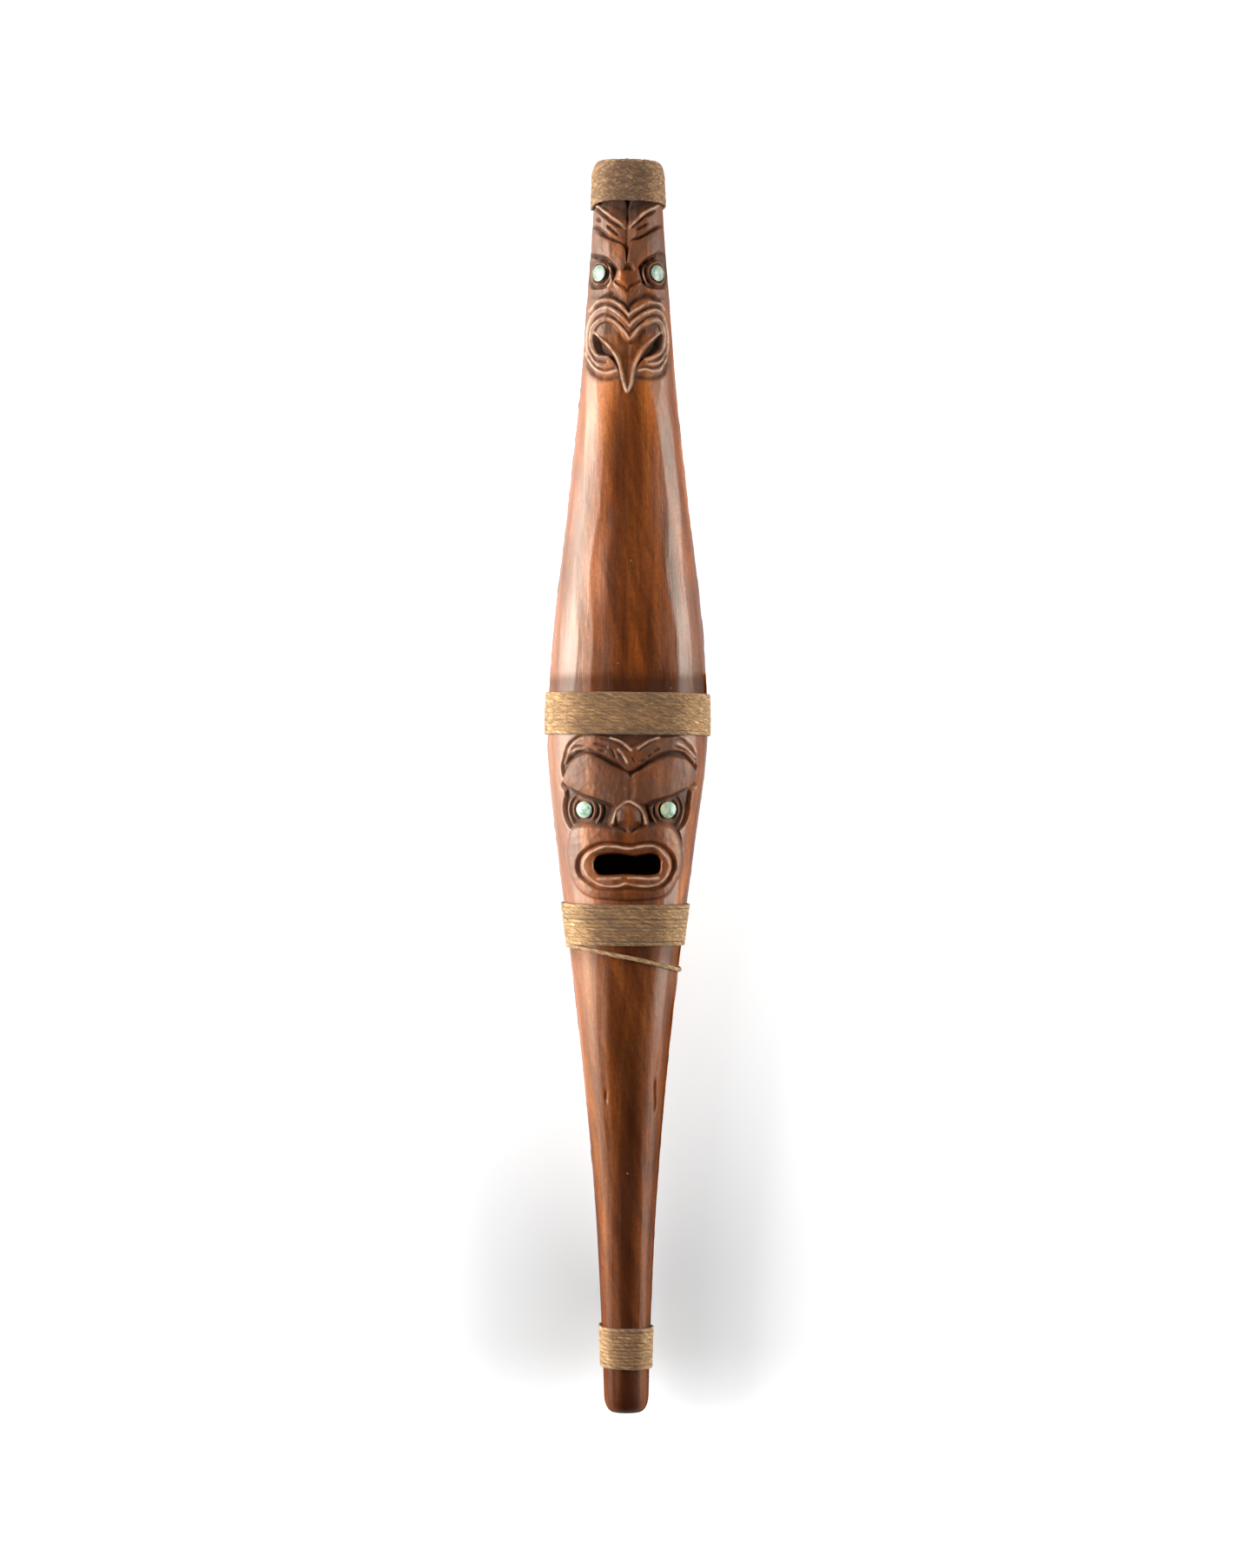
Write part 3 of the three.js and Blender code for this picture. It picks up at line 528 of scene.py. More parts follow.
# Lines of the face at the middle, in pixels of the photograph
MIDDLE_PX = {
    "field": [
        (649, 866), (658, 852), (675, 843), (700, 842), (725, 842), (750, 842), (775, 843),
        (792, 850), (801, 868), (803, 890), (797, 908), (795, 925), (789, 940), (782, 952),
        (786, 970), (787, 985), (783, 1005), (776, 1024), (765, 1035), (745, 1039), (725, 1040),
        (703, 1039), (682, 1036), (668, 1028), (658, 1011), (653, 995), (651.5, 976), (658, 953),
        (655, 940), (651, 925), (653, 910), (648, 900), (645, 885),
    ],
    "chevron_ridges": [
        [(654, 866), (658, 858), (664, 853), (671, 850)],
        [(657, 869), (661, 864.5), (668, 862.5), (675, 863)],
        [(703, 850), (715, 854.5), (727, 864)],
        [(735, 862), (743, 857), (751, 852.5), (759, 849.5)],
        [(784, 848), (791, 851), (797, 858), (801, 866)],
        [(781, 857), (788, 860), (795, 866), (800, 873)],
        [(712, 863), (717, 869), (722, 878)],
    ],
    "chevrons": [
        [(651.5, 864.5), (655, 858), (660, 853), (665, 849.5), (670, 847.5), (677, 845.5)],
        [(656.5, 864.5), (660, 861), (666, 859.5), (673, 860.5)],
        [(688, 848.5), (700, 852), (713, 857.5), (722, 864), (727, 869)],
        [(735, 866), (741, 861), (749, 856), (757, 851.5)],
        [(776, 851), (784, 851), (790, 855), (795, 861), (799, 868)],
        [(777, 859), (783, 862), (790, 865), (796, 870), (800, 876)],
        [(713, 868), (716, 872), (720, 878)],
        [(703, 863), (706, 867), (709, 873)],
    ],
    "chip_cuts": [
        [(684, 857), (692, 858), (699, 861)],
        [(690, 864), (697, 866)],
        [(737, 878), (742, 875)],
        [(752, 866), (760, 862)],
        [(746, 872), (751, 869)],
        [(728, 873), (731, 879)],
    ],
    "brow_grooves": [
        [(651, 881), (655, 874.5), (660, 869.5), (667, 866), (677, 865), (684, 868.5), (692, 872),
         (702, 877), (712, 883), (723, 891)],
        [(723, 891), (730, 889), (741, 882), (752, 875.5), (764, 869.5), (776, 867.5),
         (787, 868.5), (794, 875), (800, 884)],
    ],
    "chevron_bands": [
        (650, 880), (655, 860), (667, 849), (680, 846.5), (700, 850), (725, 862), (750, 852),
        (770, 849), (785, 850), (797, 860), (801, 880), (790, 872), (774, 870), (757, 874.5),
        (742, 884), (725, 893), (713, 884.5), (695, 874), (679, 866.5), (665, 868), (656, 878),
    ],
    "brows": [
        [(649, 896.9), (652.9, 886.9), (661.8, 874.6), (676.3, 868.5), (688.6, 873.5),
         (706.4, 883.5), (724.3, 894.7), (724.3, 922.6), (710.9, 930.4), (706.4, 927),
         (690.8, 920.4), (671.8, 913.7), (657.3, 907), (650.6, 902.5)],
        [(726.5, 895.8), (742.1, 886.9), (760, 876.8), (774.5, 872.4), (789, 874.6),
         (797.9, 884.6), (800.2, 893.6), (795.7, 903.6), (785.7, 909.2), (768.9, 915.9),
         (752.2, 920.4), (738.8, 925.9), (727.6, 922.6)],
    ],
    "brow_crease": [(724.6, 893), (724.8, 908), (724.6, 922)],
    "under_brows": [
        [(651, 905), (657, 909.5), (671.8, 916.5), (690.8, 923), (706, 930), (709, 936)],
        [(797, 905.5), (786, 911.5), (769, 918.5), (752.2, 923), (741, 929), (739, 935)],
    ],
    "eye_fields": [
        [(651, 906), (672, 915), (690, 921), (706, 929), (707.5, 940), (705, 951), (690, 952),
         (672, 951), (659, 951), (655, 938), (651, 924)],
        [(797, 907), (785, 912), (769, 919), (752, 924), (741, 930), (742, 941), (745, 950),
         (760, 950), (778, 952), (788, 940), (795, 925)],
    ],
    "nose_ball": [
        (712, 949), (711.5, 938), (716, 931), (724, 927), (732, 931), (736.5, 938), (736.5, 949),
        (731, 953), (724.5, 957), (717.5, 953),
    ],
    "nose_arch": [
        (705.5, 948.5), (708, 939), (712, 931), (718, 925.5), (724, 923), (731, 926), (737, 931.5),
        (741, 939.5), (743, 948.5),
    ],
    "nostrils": [
        [(706, 951.5), (711, 951), (717, 954), (721, 957.5)],
        [(727, 957.5), (732, 954), (737, 951), (742.5, 951.5)],
    ],
    "muzzle": [
        (660.6, 955.2), (672.5, 952.5), (705, 955.5), (725, 958.5), (744, 954), (764.7, 952.2),
        (774.5, 956.2), (780.5, 967), (784.5, 983.4), (784, 996), (780.5, 1008), (774, 1021),
        (764.7, 1030.5), (745, 1034.5), (722.4, 1035.5), (698, 1034.5), (681.2, 1032),
        (668.2, 1024.5), (659.5, 1010.5), (655.7, 994.2), (654.4, 977), (656.5, 964),
    ],
    "lip_groove": [
        (666, 1000), (667, 990), (672, 982.5), (680, 976.5), (690, 972.5), (700, 971.5),
        (712, 972.5), (724, 974), (735, 972.5), (748, 971), (758, 972.5), (767, 978.5),
        (773, 987), (775, 996), (773, 1006), (767, 1015), (758, 1022), (745, 1024.5),
        (725, 1023.5), (703, 1024.5), (688, 1021.5), (678, 1015.5), (669, 1008),
    ],
    "lip": [
        (672, 999), (673, 991), (677, 985.5), (683, 980.5), (690, 977), (698, 974.8),
        (710, 975.5), (718, 977), (727, 977.5), (735, 975.8), (745, 974.2), (753, 974.5),
        (760, 979), (766, 986), (769.5, 993), (770.5, 999), (768, 1007), (762, 1014.5),
        (755, 1019), (742, 1021), (730, 1020), (721, 1018), (712, 1020.5), (700, 1021),
        (690, 1018.5), (682, 1013.5), (676, 1007),
    ],
    "lower_lip": [
        [(688, 1012.6), (700, 1012.2), (714, 1011.4)],
        [(723.5, 1011.4), (735, 1012), (746, 1012.4), (758, 1011.4)],
    ],
    "hole": [
        (681.2, 996.4), (683.5, 988.5), (688.8, 983.4), (702, 982), (715.9, 982.3), (725, 983.6),
        (732.2, 984.5), (742, 983), (755, 982.3), (760.8, 987), (762.8, 995), (761.5, 1003),
        (757, 1008), (745, 1009.8), (732.2, 1009.4), (718.1, 1008.9), (703, 1009.8),
        (690, 1009.4), (684, 1004.5),
    ],
}

# Cracks of the lower body, in pixels of the photograph
CRACKS_PX = [
    [(698.5, 1256), (697.6, 1262), (698.4, 1269)],
    [(754.6, 1241), (753.6, 1255), (754.2, 1270), (753, 1284)],
    [(757.4, 1224), (757, 1230), (757.3, 1236)],
]

# The hollow of the forehead, from its edge down
FOREHEAD_EDGE = -0.9
FOREHEAD_SLOPE = 0.35
FOREHEAD_FLOOR = -3

# Where the tongue starts, where its floor steps up, and where it rises to its tip
TONGUE_ROOT_PX = 396
TONGUE_STEP_PX = (407, 417)
TONGUE_TIP_PX = (413, 446)

# The eyes' seats, and how far from an eye its carving reaches, in millimetres
EYE_SEAT_RADIUS = 3.25
EYE_SEAT_SLOPE = 3
EYE_FLOOR = -1.25
EYE_REACH = 8
EYE_RINGS_REACH = 12
RING_SLOPE = 1.3
# Above and below an eye its outer rings fade: where, and to which heights
RING_FADE = (0.45, 0.85)
FADED_GROOVE = -1.2
FADED_RIM = -1.6


class Eye:
    """A shell disc's place, from its CAD node."""

    def __init__(self, node):
        points = mesh_points(frame["nodes"][node]) - TO_ROW
        self.node = node
        self.middle = points.mean(0)
        self.axes = np.linalg.svd(points - self.middle)[2]
        if self.axes[2][2] < 0:
            self.axes[2] *= -1
        if np.linalg.det(self.axes) < 0:
            self.axes[0] *= -1
        offsets = points - self.middle
        self.heights = offsets @ self.axes[2]
        self.radius = np.hypot(offsets @ self.axes[0], offsets @ self.axes[1]).max()

    def from_axis(self, points):
        offsets = points - self.middle
        return np.hypot(offsets @ self.axes[0], offsets @ self.axes[1])


EYES = {name: Eye(name) for name in frame["nodes"] if name.startswith("eye_")}


def carve_eye(relief, points, eye, rims, grooves, crescents=0):
    """Rings of wood round an eye. rims and grooves are pairs of a radius and a height.

    crescents is how much the rings fade above and below the eye.
    """
    near = np.flatnonzero(np.linalg.norm(points - eye.middle, axis=1) < EYE_RINGS_REACH)
    radius = eye.from_axis(points[near])
    height = relief.height[near]
    beside = np.abs(points[near, 0] - eye.middle[0]) / np.maximum(radius, 0.1)
    share = 1 - crescents * (1 - smoothstep(beside, *RING_FADE))
    for ring, floor in grooves:
        level = share * floor + (1 - share) * FADED_GROOVE
        height = np.minimum(height, level + RING_SLOPE * np.abs(radius - ring))
    for ring, top in rims:
        level = share * top + (1 - share) * FADED_RIM
        height = np.maximum(height, level - RING_SLOPE * np.abs(radius - ring))
    relief.height[near] = height


def seat_eyes(relief, points, eyes):
    """The flat-floored seats of the shell discs."""
    for eye in eyes:
        near = np.flatnonzero(np.linalg.norm(points - eye.middle, axis=1) < EYE_REACH)
        radius = eye.from_axis(points[near])
        seat = EYE_FLOOR + EYE_SEAT_SLOPE * np.maximum(radius - EYE_SEAT_RADIUS, 0)
        relief.height[near] = np.minimum(relief.height[near], seat)


def carve_head(relief, points):
    """The head below the blowing end, from its forehead down to its chin."""
    relief.lines = HEAD_PX
    near, depth = relief.depths(smooth_line(HEAD_PX["forehead"], closed=True), 1)
    sunk = np.maximum(FOREHEAD_EDGE - FOREHEAD_SLOPE * depth, FOREHEAD_FLOOR)
    hollow = np.where(depth > 0, sunk, 0)
    relief.height[near] = np.minimum(relief.height[near], hollow)
    relief.groove("forehead_crease", (-3.7, -2.6), slope=1.1, fade=0.1)
    relief.crest("first_ridges", (0.15, -0.4))
    relief.groove("second_grooves", (-1.2, -1.6))
    relief.groove("leaf_notches", -1.1)
    relief.groove("third_grooves", (-1.4, -1.8))
    relief.groove("valley", (-2.0, -1.2), slope=0.55, round_off=0.4, fade=0)
    relief.ground("eye_grounds", -1.5, 0.8, only_down=True)
    eyes = [EYES["eye_head_left"], EYES["eye_head_right"]]
    for eye in eyes:
        carve_eye(relief, points, eye, [(4.1, 0.1)], [(5.2, -1.7)])
    relief.crest("inner_eye_ridges", -0.3, slope=1.2)
    relief.groove("inner_eye_grooves", -1.9, slope=1.5)
    relief.groove("under_brows", -2.9, slope=1.1, fade=0.2)
    relief.ground("brow_pits", -2.9, 0.4)
    relief.pad("brows", 0.3, dome=0.3, reach=3, slope=3)
    seat_eyes(relief, points, eyes)
    relief.ground("cheeks", -0.4, 1.2)
    relief.pad("nose", 0.1, dome=0.9, reach=2.6, slope=2.0)
    relief.groove("nose_top", -1.2, slope=1.0)
    relief.groove("nostrils", -0.5, slope=1.4)
    relief.groove("over_lips", -1.6, slope=0.9, fade=0.2)
    relief.crest("outer_lips", 0.35)
    relief.groove("outer_lip_grooves", -0.95)
    relief.crest("middle_lips", 0.35)
    relief.groove("middle_lip_grooves", -0.8)
    relief.ground("mouth", lambda at: -2.1 + 0.04 * np.abs(at[:, 0] - FLUTE_MIDDLE_PX[0]), 0.5)
    relief.ground("pits", -2.9, 0.5)
    relief.crest("inner_lips", 0.5, slope=1.4)
    relief.crest("curls", 0.2)
    relief.groove("curl_grooves", -0.7)
    relief.groove("chin_edge", -0.8, slope=0.8)
    carve_tongue(relief)


def carve_tongue(relief):
    """A dished tongue between two raised rims, whose tip hangs over the chin."""
    left, right = [smooth_line(line) for line in HEAD_PX["tongue_rims"]]
    near, depth = relief.depths(np.vstack([left, right[::-1]]), 3)
    x, y = relief.at[near].T
    dish = -2.1 + 0.05 * np.abs(x - FLUTE_MIDDLE_PX[0])
    dish += 0.7 * smoothstep(y, *TONGUE_STEP_PX) + 1.5 * smoothstep(y, *TONGUE_TIP_PX)
    dished = (depth > 0) & (y > TONGUE_ROOT_PX)
    relief.height[near] = np.where(dished, dish, relief.height[near])
    relief.crest("tongue_rims", (-0.3, 0.8), slope=1.5, taper=0.2)


def carve_middle(relief, points):
    """The face at the middle, whose mouth is the finger hole."""
    relief.lines = MIDDLE_PX
    relief.ground("field", -1.2, 1.0)
    relief.pad("chevron_bands", -0.4, dome=0.25, reach=3, slope=1.0)
    relief.crest("chevron_ridges", 0.1, slope=1.6)
    relief.groove("chevrons", -0.85, slope=1.3)
    relief.groove("chip_cuts", -0.8, slope=1.2)
    relief.groove("brow_grooves", -1.9, slope=1.5, fade=0.2)
    relief.ground("eye_fields", -1.6, 0.7, only_down=True)
    eyes = [EYES["eye_middle_left"], EYES["eye_middle_right"]]
    for eye in eyes:
        carve_eye(relief, points, eye, [(4.4, -0.1), (6.6, -0.3)], [(5.6, -1.7), (8, -1.9)], 0.8)
    relief.groove("under_brows", -2.4, slope=1.0, fade=0.2)
    relief.pad("brows", 0.5, dome=0.5, reach=3.5, slope=2.6)
    relief.groove("brow_crease", 0.1, slope=0.35)
    seat_eyes(relief, points, eyes)
    relief.crest("nose_arch", 0.9, slope=1.5, round_off=0.3, taper=0)
    relief.pad("muzzle", 0.5, dome=0.3, reach=2.5, slope=1.1)
    relief.pad("nose_ball", 0.9, dome=1.3, reach=3.6, slope=2.2)
    relief.groove("nostrils", -0.7, slope=1.2)
    carve_lips(relief)


def carve_lips(relief):
    """The lip round the finger hole: a sharp rim, and a bevel that falls into the hole."""
    relief.ground("lip_groove", 0.1, 0.6, only_down=True)
    relief.groove("lip_groove", -0.9, slope=2.0, closed=True)
    near, from_lip = relief.depths(smooth_line(MIDDLE_PX["lip"], closed=True), 3)
    from_hole = np.maximum(-hole_depths(relief.at[near]), 0)
    share = np.clip(from_lip / np.maximum(from_lip + from_hole, 0.01), 0, 1)
    bevel = 0.55 - 1.1 * share
    relief.height[near] = np.where(from_lip > 0, bevel, relief.height[near])
    relief.crest("lip", 0.85, slope=1.8, round_off=0.2, closed=True)
    relief.crest("lower_lip", 0.18, slope=1.5)


# The cuts of the carver's blade over the carving: their size, and how high they stand
SCOOP_PX = np.array([6.0, 9.0])
SCOOP_RISE = 0.2
SCOOP_LEVEL = 0.3
SCOOP_CELLS = 64
# Heights over which the wood counts as carved
WORKED = (0.02, 0.3)
SWAY_PX = 9
SWAY_SHARE = 0.45
# How the mouth's sides fall into the finger hole, and how far inside its rim each wall is open
HOLE_RIM = 0.3
HOLE_FALL = 5.5
HOLE_INSET = 0.65
INNER_INSET = HOLE_INSET - 0.5
HOLE_NEAR_PX = 60
HOLE_WIDTH_SHARE = 2  # how many times wider than high the hole is taken to be, round its rim
# How much polish takes from the patina
POLISH = 0.65


def hole_depths(at):
    outline = smooth_line(MIDDLE_PX["hole"], closed=True)
    distance, _ = from_line(at, outline, closed=True)
    return np.where(inside(at, outline), distance, -distance) * MM_PER_PX


def scoops(at, size, seed):
    """Shallow cuts of a blade that meet at low edges, from 0 in a cut's middle up."""
    random = np.random.default_rng(seed)
    offsets = random.uniform(0.1, 0.9, (SCOOP_CELLS, SCOOP_CELLS, 2))
    cell = np.floor(at / size).astype(int)
    least = np.full(len(at), np.inf)
    for du in (-1, 0, 1):
        for dv in (-1, 0, 1):
            u, v = ((cell + [du, dv]) % SCOOP_CELLS).T
            centre = (cell + [du, dv] + offsets[u, v]) * size
            least = np.minimum(least, np.sum(((at - centre) / size) ** 2, axis=1))
    return np.minimum(least, 1)


def carved_heights(points):
    """Of the front's carving: heights over the skin, wear and painted highlight of its ridges,
    patina, and where its recesses get less painted shade.
    """
    at = to_px(points)
    count = points.shape[:2]
    flat, flat_at = points.reshape(-1, 3), at.reshape(-1, 2)
    sway = np.stack([lattice_noise(*flat_at.T / SWAY_PX, seed) for seed in (11, 12)], -1)
    relief = Relief(flat_at + SWAY_SHARE * sway)
    carve_head(relief, flat)
    carve_middle(relief, flat)
    worked = smoothstep(np.abs(relief.height), *WORKED)
    relief.height += worked * SCOOP_RISE * (scoops(flat_at + sway, SCOOP_PX, 71) - SCOOP_LEVEL)
    relief.groove(CRACKS_PX, -0.8, slope=2.4, fade=0.8)
    near = relief.near(np.array(MIDDLE_PX["hole"]), 1)
    depth = hole_depths(relief.at[near])
    fallen = np.minimum(relief.height[near], HOLE_RIM - HOLE_FALL * depth)
    relief.height[near] = np.where(depth > 0, fallen, relief.height[near])
    patina, light = shaded_places(flat_at)
    return [layer.reshape(count) for layer in (relief.height, relief.worn_highlight, patina, light)]


def shaded_places(at):
    """Where the carved parts are dark with patina, and where their recesses get less painted shade.
    """
    where, polished, light = Relief(at), Relief(at), Relief(at)
    where.ground([MIDDLE_PX["field"], HEAD_PX["outline"]], 1, 2.0)
    left, right = HEAD_PX["tongue_rims"]
    # The places rubbed by hands, which lose patina and some painted shade
    rubbed_and_crown_shade = [MIDDLE_PX["nose_ball"], MIDDLE_PX["muzzle"], HEAD_PX["nose"], left + right[::-1],
               HEAD_PX["valley_floor"], HEAD_PX["lip_middle"]]
    polished.ground(rubbed_and_crown_shade, 1, 1.0)
    light.ground(rubbed_and_crown_shade, 1, 0.6)
    light.ground(HEAD_PX["mouth"], 0.9, 0.6)
    light.ground(HEAD_PX["pits"], 0, 0.4)
    return where.height * (1 - POLISH * polished.height), light.height


def blurred(grid, passes):
    """A grid averaged with its neighbours."""
    for _ in range(passes):
        padded = np.pad(grid, 1, mode="edge")
        grid = (padded[:-2, 1:-1] + 2 * padded[1:-1, 1:-1] + padded[2:, 1:-1]) / 4
        padded = np.pad(grid, 1, mode="edge")
        grid = (padded[1:-1, :-2] + 2 * padded[1:-1, 1:-1] + padded[1:-1, 2:]) / 4
    return grid


FACETS = 9
FACET_DEPTH = 0.22
FACET_RIPPLE = 0.05
# The lower body is smoother, from one distance below the middle to another
FOOT_SMOOTHING = 0.65
FOOT_SMOOTHED = (40, 100)


def tool_marks(angle, y, seed):
    """Long flat facets with wavy edges that the carver's blade left along the wood."""
    facets = angle / math.pi * FACETS + 0.45 * lattice_noise(y / 26, 0 * angle + 3.5, seed + 1)
    facets = facets + 0.4 * lattice_noise(y / 45, angle * 2.2, seed + 3)
    place = np.mod(facets, 1) - 1 / 2
    deep = 0.75 + 0.25 * lattice_noise(np.floor(facets), y / 40 + 20, seed)
    fine = lattice_noise(facets * 2.3, y / 30 + 40, seed + 2)
    deep = deep * (1 - FOOT_SMOOTHING * smoothstep(-y, *FOOT_SMOOTHED))
    return FACET_RIPPLE * fine - FACET_DEPTH * deep * (1 - 4 * place ** 2)


# Meshes

def add_attributes(mesh, attributes):
    """Adds a number for each point of a mesh, under each name."""
    for key, values in attributes.items():
        layer = mesh.attributes.new(key, "FLOAT", "POINT")
        layer.data.foreach_set("value", np.asarray(values, np.float32))


def make_piece(name, points, faces, flat_faces, attributes):
    """An object of a mesh from millimetres in the flute's frame."""
    mesh = bpy.data.meshes.new(name)
    mesh.from_pydata(((points + TO_ROW) * MM).tolist(), [], [*faces, *flat_faces])
    smooth = np.ones(len(mesh.polygons), bool)
    smooth[len(faces):] = False
    mesh.polygons.foreach_set("use_smooth", smooth)
    add_attributes(mesh, attributes)
    mesh.update()
    piece = bpy.data.objects.new(name, mesh)
    bpy.context.scene.collection.objects.link(piece)
    return piece


def grid_quads(rows, columns, start=0):
    index = start + np.arange(rows * columns).reshape(rows, columns)
    quads = np.stack([index[:-1, :-1], index[1:, :-1], index[1:, 1:], index[:-1, 1:]], -1)
    return quads.reshape(-1, 4)


def border_loops(quads):
    """Closed rows of vertices round the open borders of a mesh."""
    edges = np.concatenate([quads[:, [k, (k + 1) % 4]] for k in range(4)])
    known = set(map(tuple, edges.tolist()))
    following = {a: b for a, b in known if (b, a) not in known}
    loops = []
    while following:
        start = next(iter(following))
        loop, at = [], start
        while at in following:
            loop.append(at)
            at = following.pop(at)
        loops.append(loop)
    return loops


def zipped(first, second, first_places, second_places):
    """Triangles between two rows of vertices whose places rise along them."""
    i = j = 0
    faces = []
    while i < len(first) - 1 or j < len(second) - 1:
        ahead = j == len(second) - 1 or (
            i < len(first) - 1 and first_places[i + 1] <= second_places[j + 1]
        )
        if ahead:
            faces.append((first[i], first[i + 1], second[j]))
            i += 1
        else:
            faces.append((first[i], second[j + 1], second[j]))
            j += 1
    return faces


def graded(stretches):
    """Places from one end to the other, by stretches of (start, end, step)."""
    parts = []
    for start, end, step in stretches:
        count = max(int(math.ceil((end - start) / step)), 1)
        parts.append(start + (end - start) * np.arange(count) / count)
    return np.concatenate([*parts, [stretches[-1][1]]])


def eased_ends(places, count=7):
    """Places with close rows added where the body's two ends are rounded."""
    ease = 1 - np.cos(np.arange(count) / count * math.pi / 2)
    foot, lip = -LENGTH / 2 + FOOT_ROUND * ease, (LIP_END - LIP_ROUND * ease)[::-1]
    return np.concatenate([
        foot if places[0] <= -LENGTH / 2 + FOOT_ROUND else [], places,
        lip if places[-1] > LIP_END - LIP_ROUND - 1 else [],
    ])


def denser_middle(count, share):
    """Angles over half a turn, closer together at the crown by a share."""
    t = np.linspace(-1, 1, count)
    return math.pi / 2 * (1 + share * t + (1 - share) * t ** 3)


# The most rows and the columns of the cavity's mesh
CAVITY_ROWS = 150
CAVITY_COLUMNS = 41


def half_shell(name, side, ys, angles, heights, tones, open_hole=False):
    """One half of the body: skin, cavity, seam faces and end faces."""
    seam = side * GUM_THICKNESS / 2
    keep_side = np.maximum if side > 0 else np.minimum
    outer = skin(angles, ys[:, None])
    outer += skin_normal(angles, ys[:, None]) * heights[..., None]
    outer[..., 2] = keep_side(outer[..., 2], seam)
    outer[:, [0, -1], 2] = seam
    inner_rows = np.linspace(0, len(ys) - 1, min(len(ys), CAVITY_ROWS)).astype(int)
    inner_ys = ys[np.unique(inner_rows)]
    inner_angles = np.linspace(angles[0], angles[-1], CAVITY_COLUMNS)
    inner = cavity(inner_angles, inner_ys[:, None])
    inner[:, [0, -1], 2] = seam
    count = outer.shape[0] * outer.shape[1]
    points = np.concatenate([outer.reshape(-1, 3), inner.reshape(-1, 3)])
    outer_quads = grid_quads(len(ys), len(angles))
    inner_quads = grid_quads(len(inner_ys), len(inner_angles), count)
    hole_faces = []
    if open_hole:
        outer_quads, inner_quads, hole_faces = cut_hole(points, outer_quads, inner_quads)
    outer_index = np.arange(count).reshape(len(ys), len(angles))
    inner_index = count + np.arange(inner.shape[0] * inner.shape[1]).reshape(inner.shape[:2])
    border = []
    for column in (0, -1):
        border += zipped(outer_index[:, column].tolist(), inner_index[:, column].tolist(),
                         ys, inner_ys)
    for row in (0, -1):
        border += zipped(outer_index[row].tolist(), inner_index[row].tolist(),
                         angles, inner_angles)
    attributes = {"hollow": np.arange(len(points)) >= count}
    for key, layer in tones.items():
        attributes[key] = np.concatenate([layer.ravel(), np.zeros(len(points) - count)])
    faces = [*outer_quads.tolist(), *inner_quads.tolist()]
    piece = make_piece(name, points, faces, border + hole_faces, attributes)
    tidy_mesh(piece)
    return piece


RIM_PASSES = 3
RIM_PROBE = 0.05


def on_rim(points, inset, fall):
    """Points moved to lie at one distance inside the finger hole's outline."""
    for _ in range(RIM_PASSES):
        depth = hole_depths(to_px(points))
        slopes = [
            (hole_depths(to_px(points + RIM_PROBE * np.eye(3)[axis])) - depth) / RIM_PROBE
            for axis in (0, 1)
        ]
        slope = np.stack([*slopes, 0 * depth], -1)
        slope /= np.maximum(np.linalg.norm(slope, axis=1, keepdims=True), 1e-6)
        move = (inset - depth)[:, None]
        points = points + move * slope - fall * move * [0, 0, 1]
    return points


def opened(points, quads, inset, fall):
    """Faces without those inside the finger hole, and the rim that they leave."""
    middle = np.mean(MIDDLE_PX["hole"], axis=0)
    used = np.unique(quads)
    at = to_px(points[used])
    beside = np.all(np.abs(at - middle) < HOLE_NEAR_PX, axis=1)
    close = np.flatnonzero(beside & (points[used][:, 2] > 0))
    deep = np.zeros(len(points), bool)
    deep[used[close]] = hole_depths(at[close]) > inset
    quads = quads[~deep[quads].any(axis=1)]
    loops = border_loops(quads)
    from_middle = [np.abs(to_px(points[loop]).mean(0) - middle).sum() for loop in loops]
    rim = loops[int(np.argmin(from_middle))]
    points[rim] = on_rim(points[rim], inset, fall)
    return quads, rim


def ordered(points, rim):
    """A rim's points from one side of the hole and round it, and their angles."""
    across, along = (to_px(points[rim]) - np.mean(MIDDLE_PX["hole"], axis=0)).T
    angle = np.arctan2(along * HOLE_WIDTH_SHARE, across)
    if np.mean(np.sign(np.sin(np.diff(angle)))) < 0:
        rim, angle = rim[::-1], angle[::-1]
    first = int(np.argmin(angle))
    angle = np.unwrap(np.roll(angle, -first))
    rim = np.roll(rim, -first).tolist()
    return [*rim, rim[0]], np.append(angle, angle[0] + 2 * math.pi)


def cut_hole(points, outer_quads, inner_quads):
    """Opens the finger hole through both walls and joins their rims."""
    outer_quads, outer_rim = opened(points, outer_quads, HOLE_INSET, HOLE_FALL)
    inner_quads, inner_rim = opened(points, inner_quads, INNER_INSET, 0)
    outer_rim, outer_places = ordered(points, outer_rim)
    inner_rim, inner_places = ordered(points, inner_rim)
    return outer_quads, inner_quads, zipped(outer_rim, inner_rim, outer_places, inner_places)


def tidy_mesh(piece):
    """Drops loose points and turns all faces outwards."""
    mesh = bmesh.new()
    mesh.from_mesh(piece.data)
    loose = [vertex for vertex in mesh.verts if not vertex.link_faces]
    bmesh.ops.delete(mesh, geom=loose, context="VERTS")
    bmesh.ops.recalc_face_normals(mesh, faces=mesh.faces)
    mesh.to_mesh(piece.data)
    mesh.free()


def tube_quads(rings, sides):
    """Quads of a tube of rings, with an end cap at each end as two rows of vertices."""
    index = np.arange(rings * sides).reshape(rings, sides)
    turned = np.roll(index, -1, axis=1)
    quads = np.stack([index[:-1], index[1:], turned[1:], turned[:-1]], -1).reshape(-1, 4)
    return quads.tolist(), [index[0][::-1].tolist(), index[-1].tolist()]


# The wood

# Between these places the body's ends are not yet rounded
FOOT_ROW = FOOT_ROUND - LENGTH / 2
LIP_ROW = 222.5
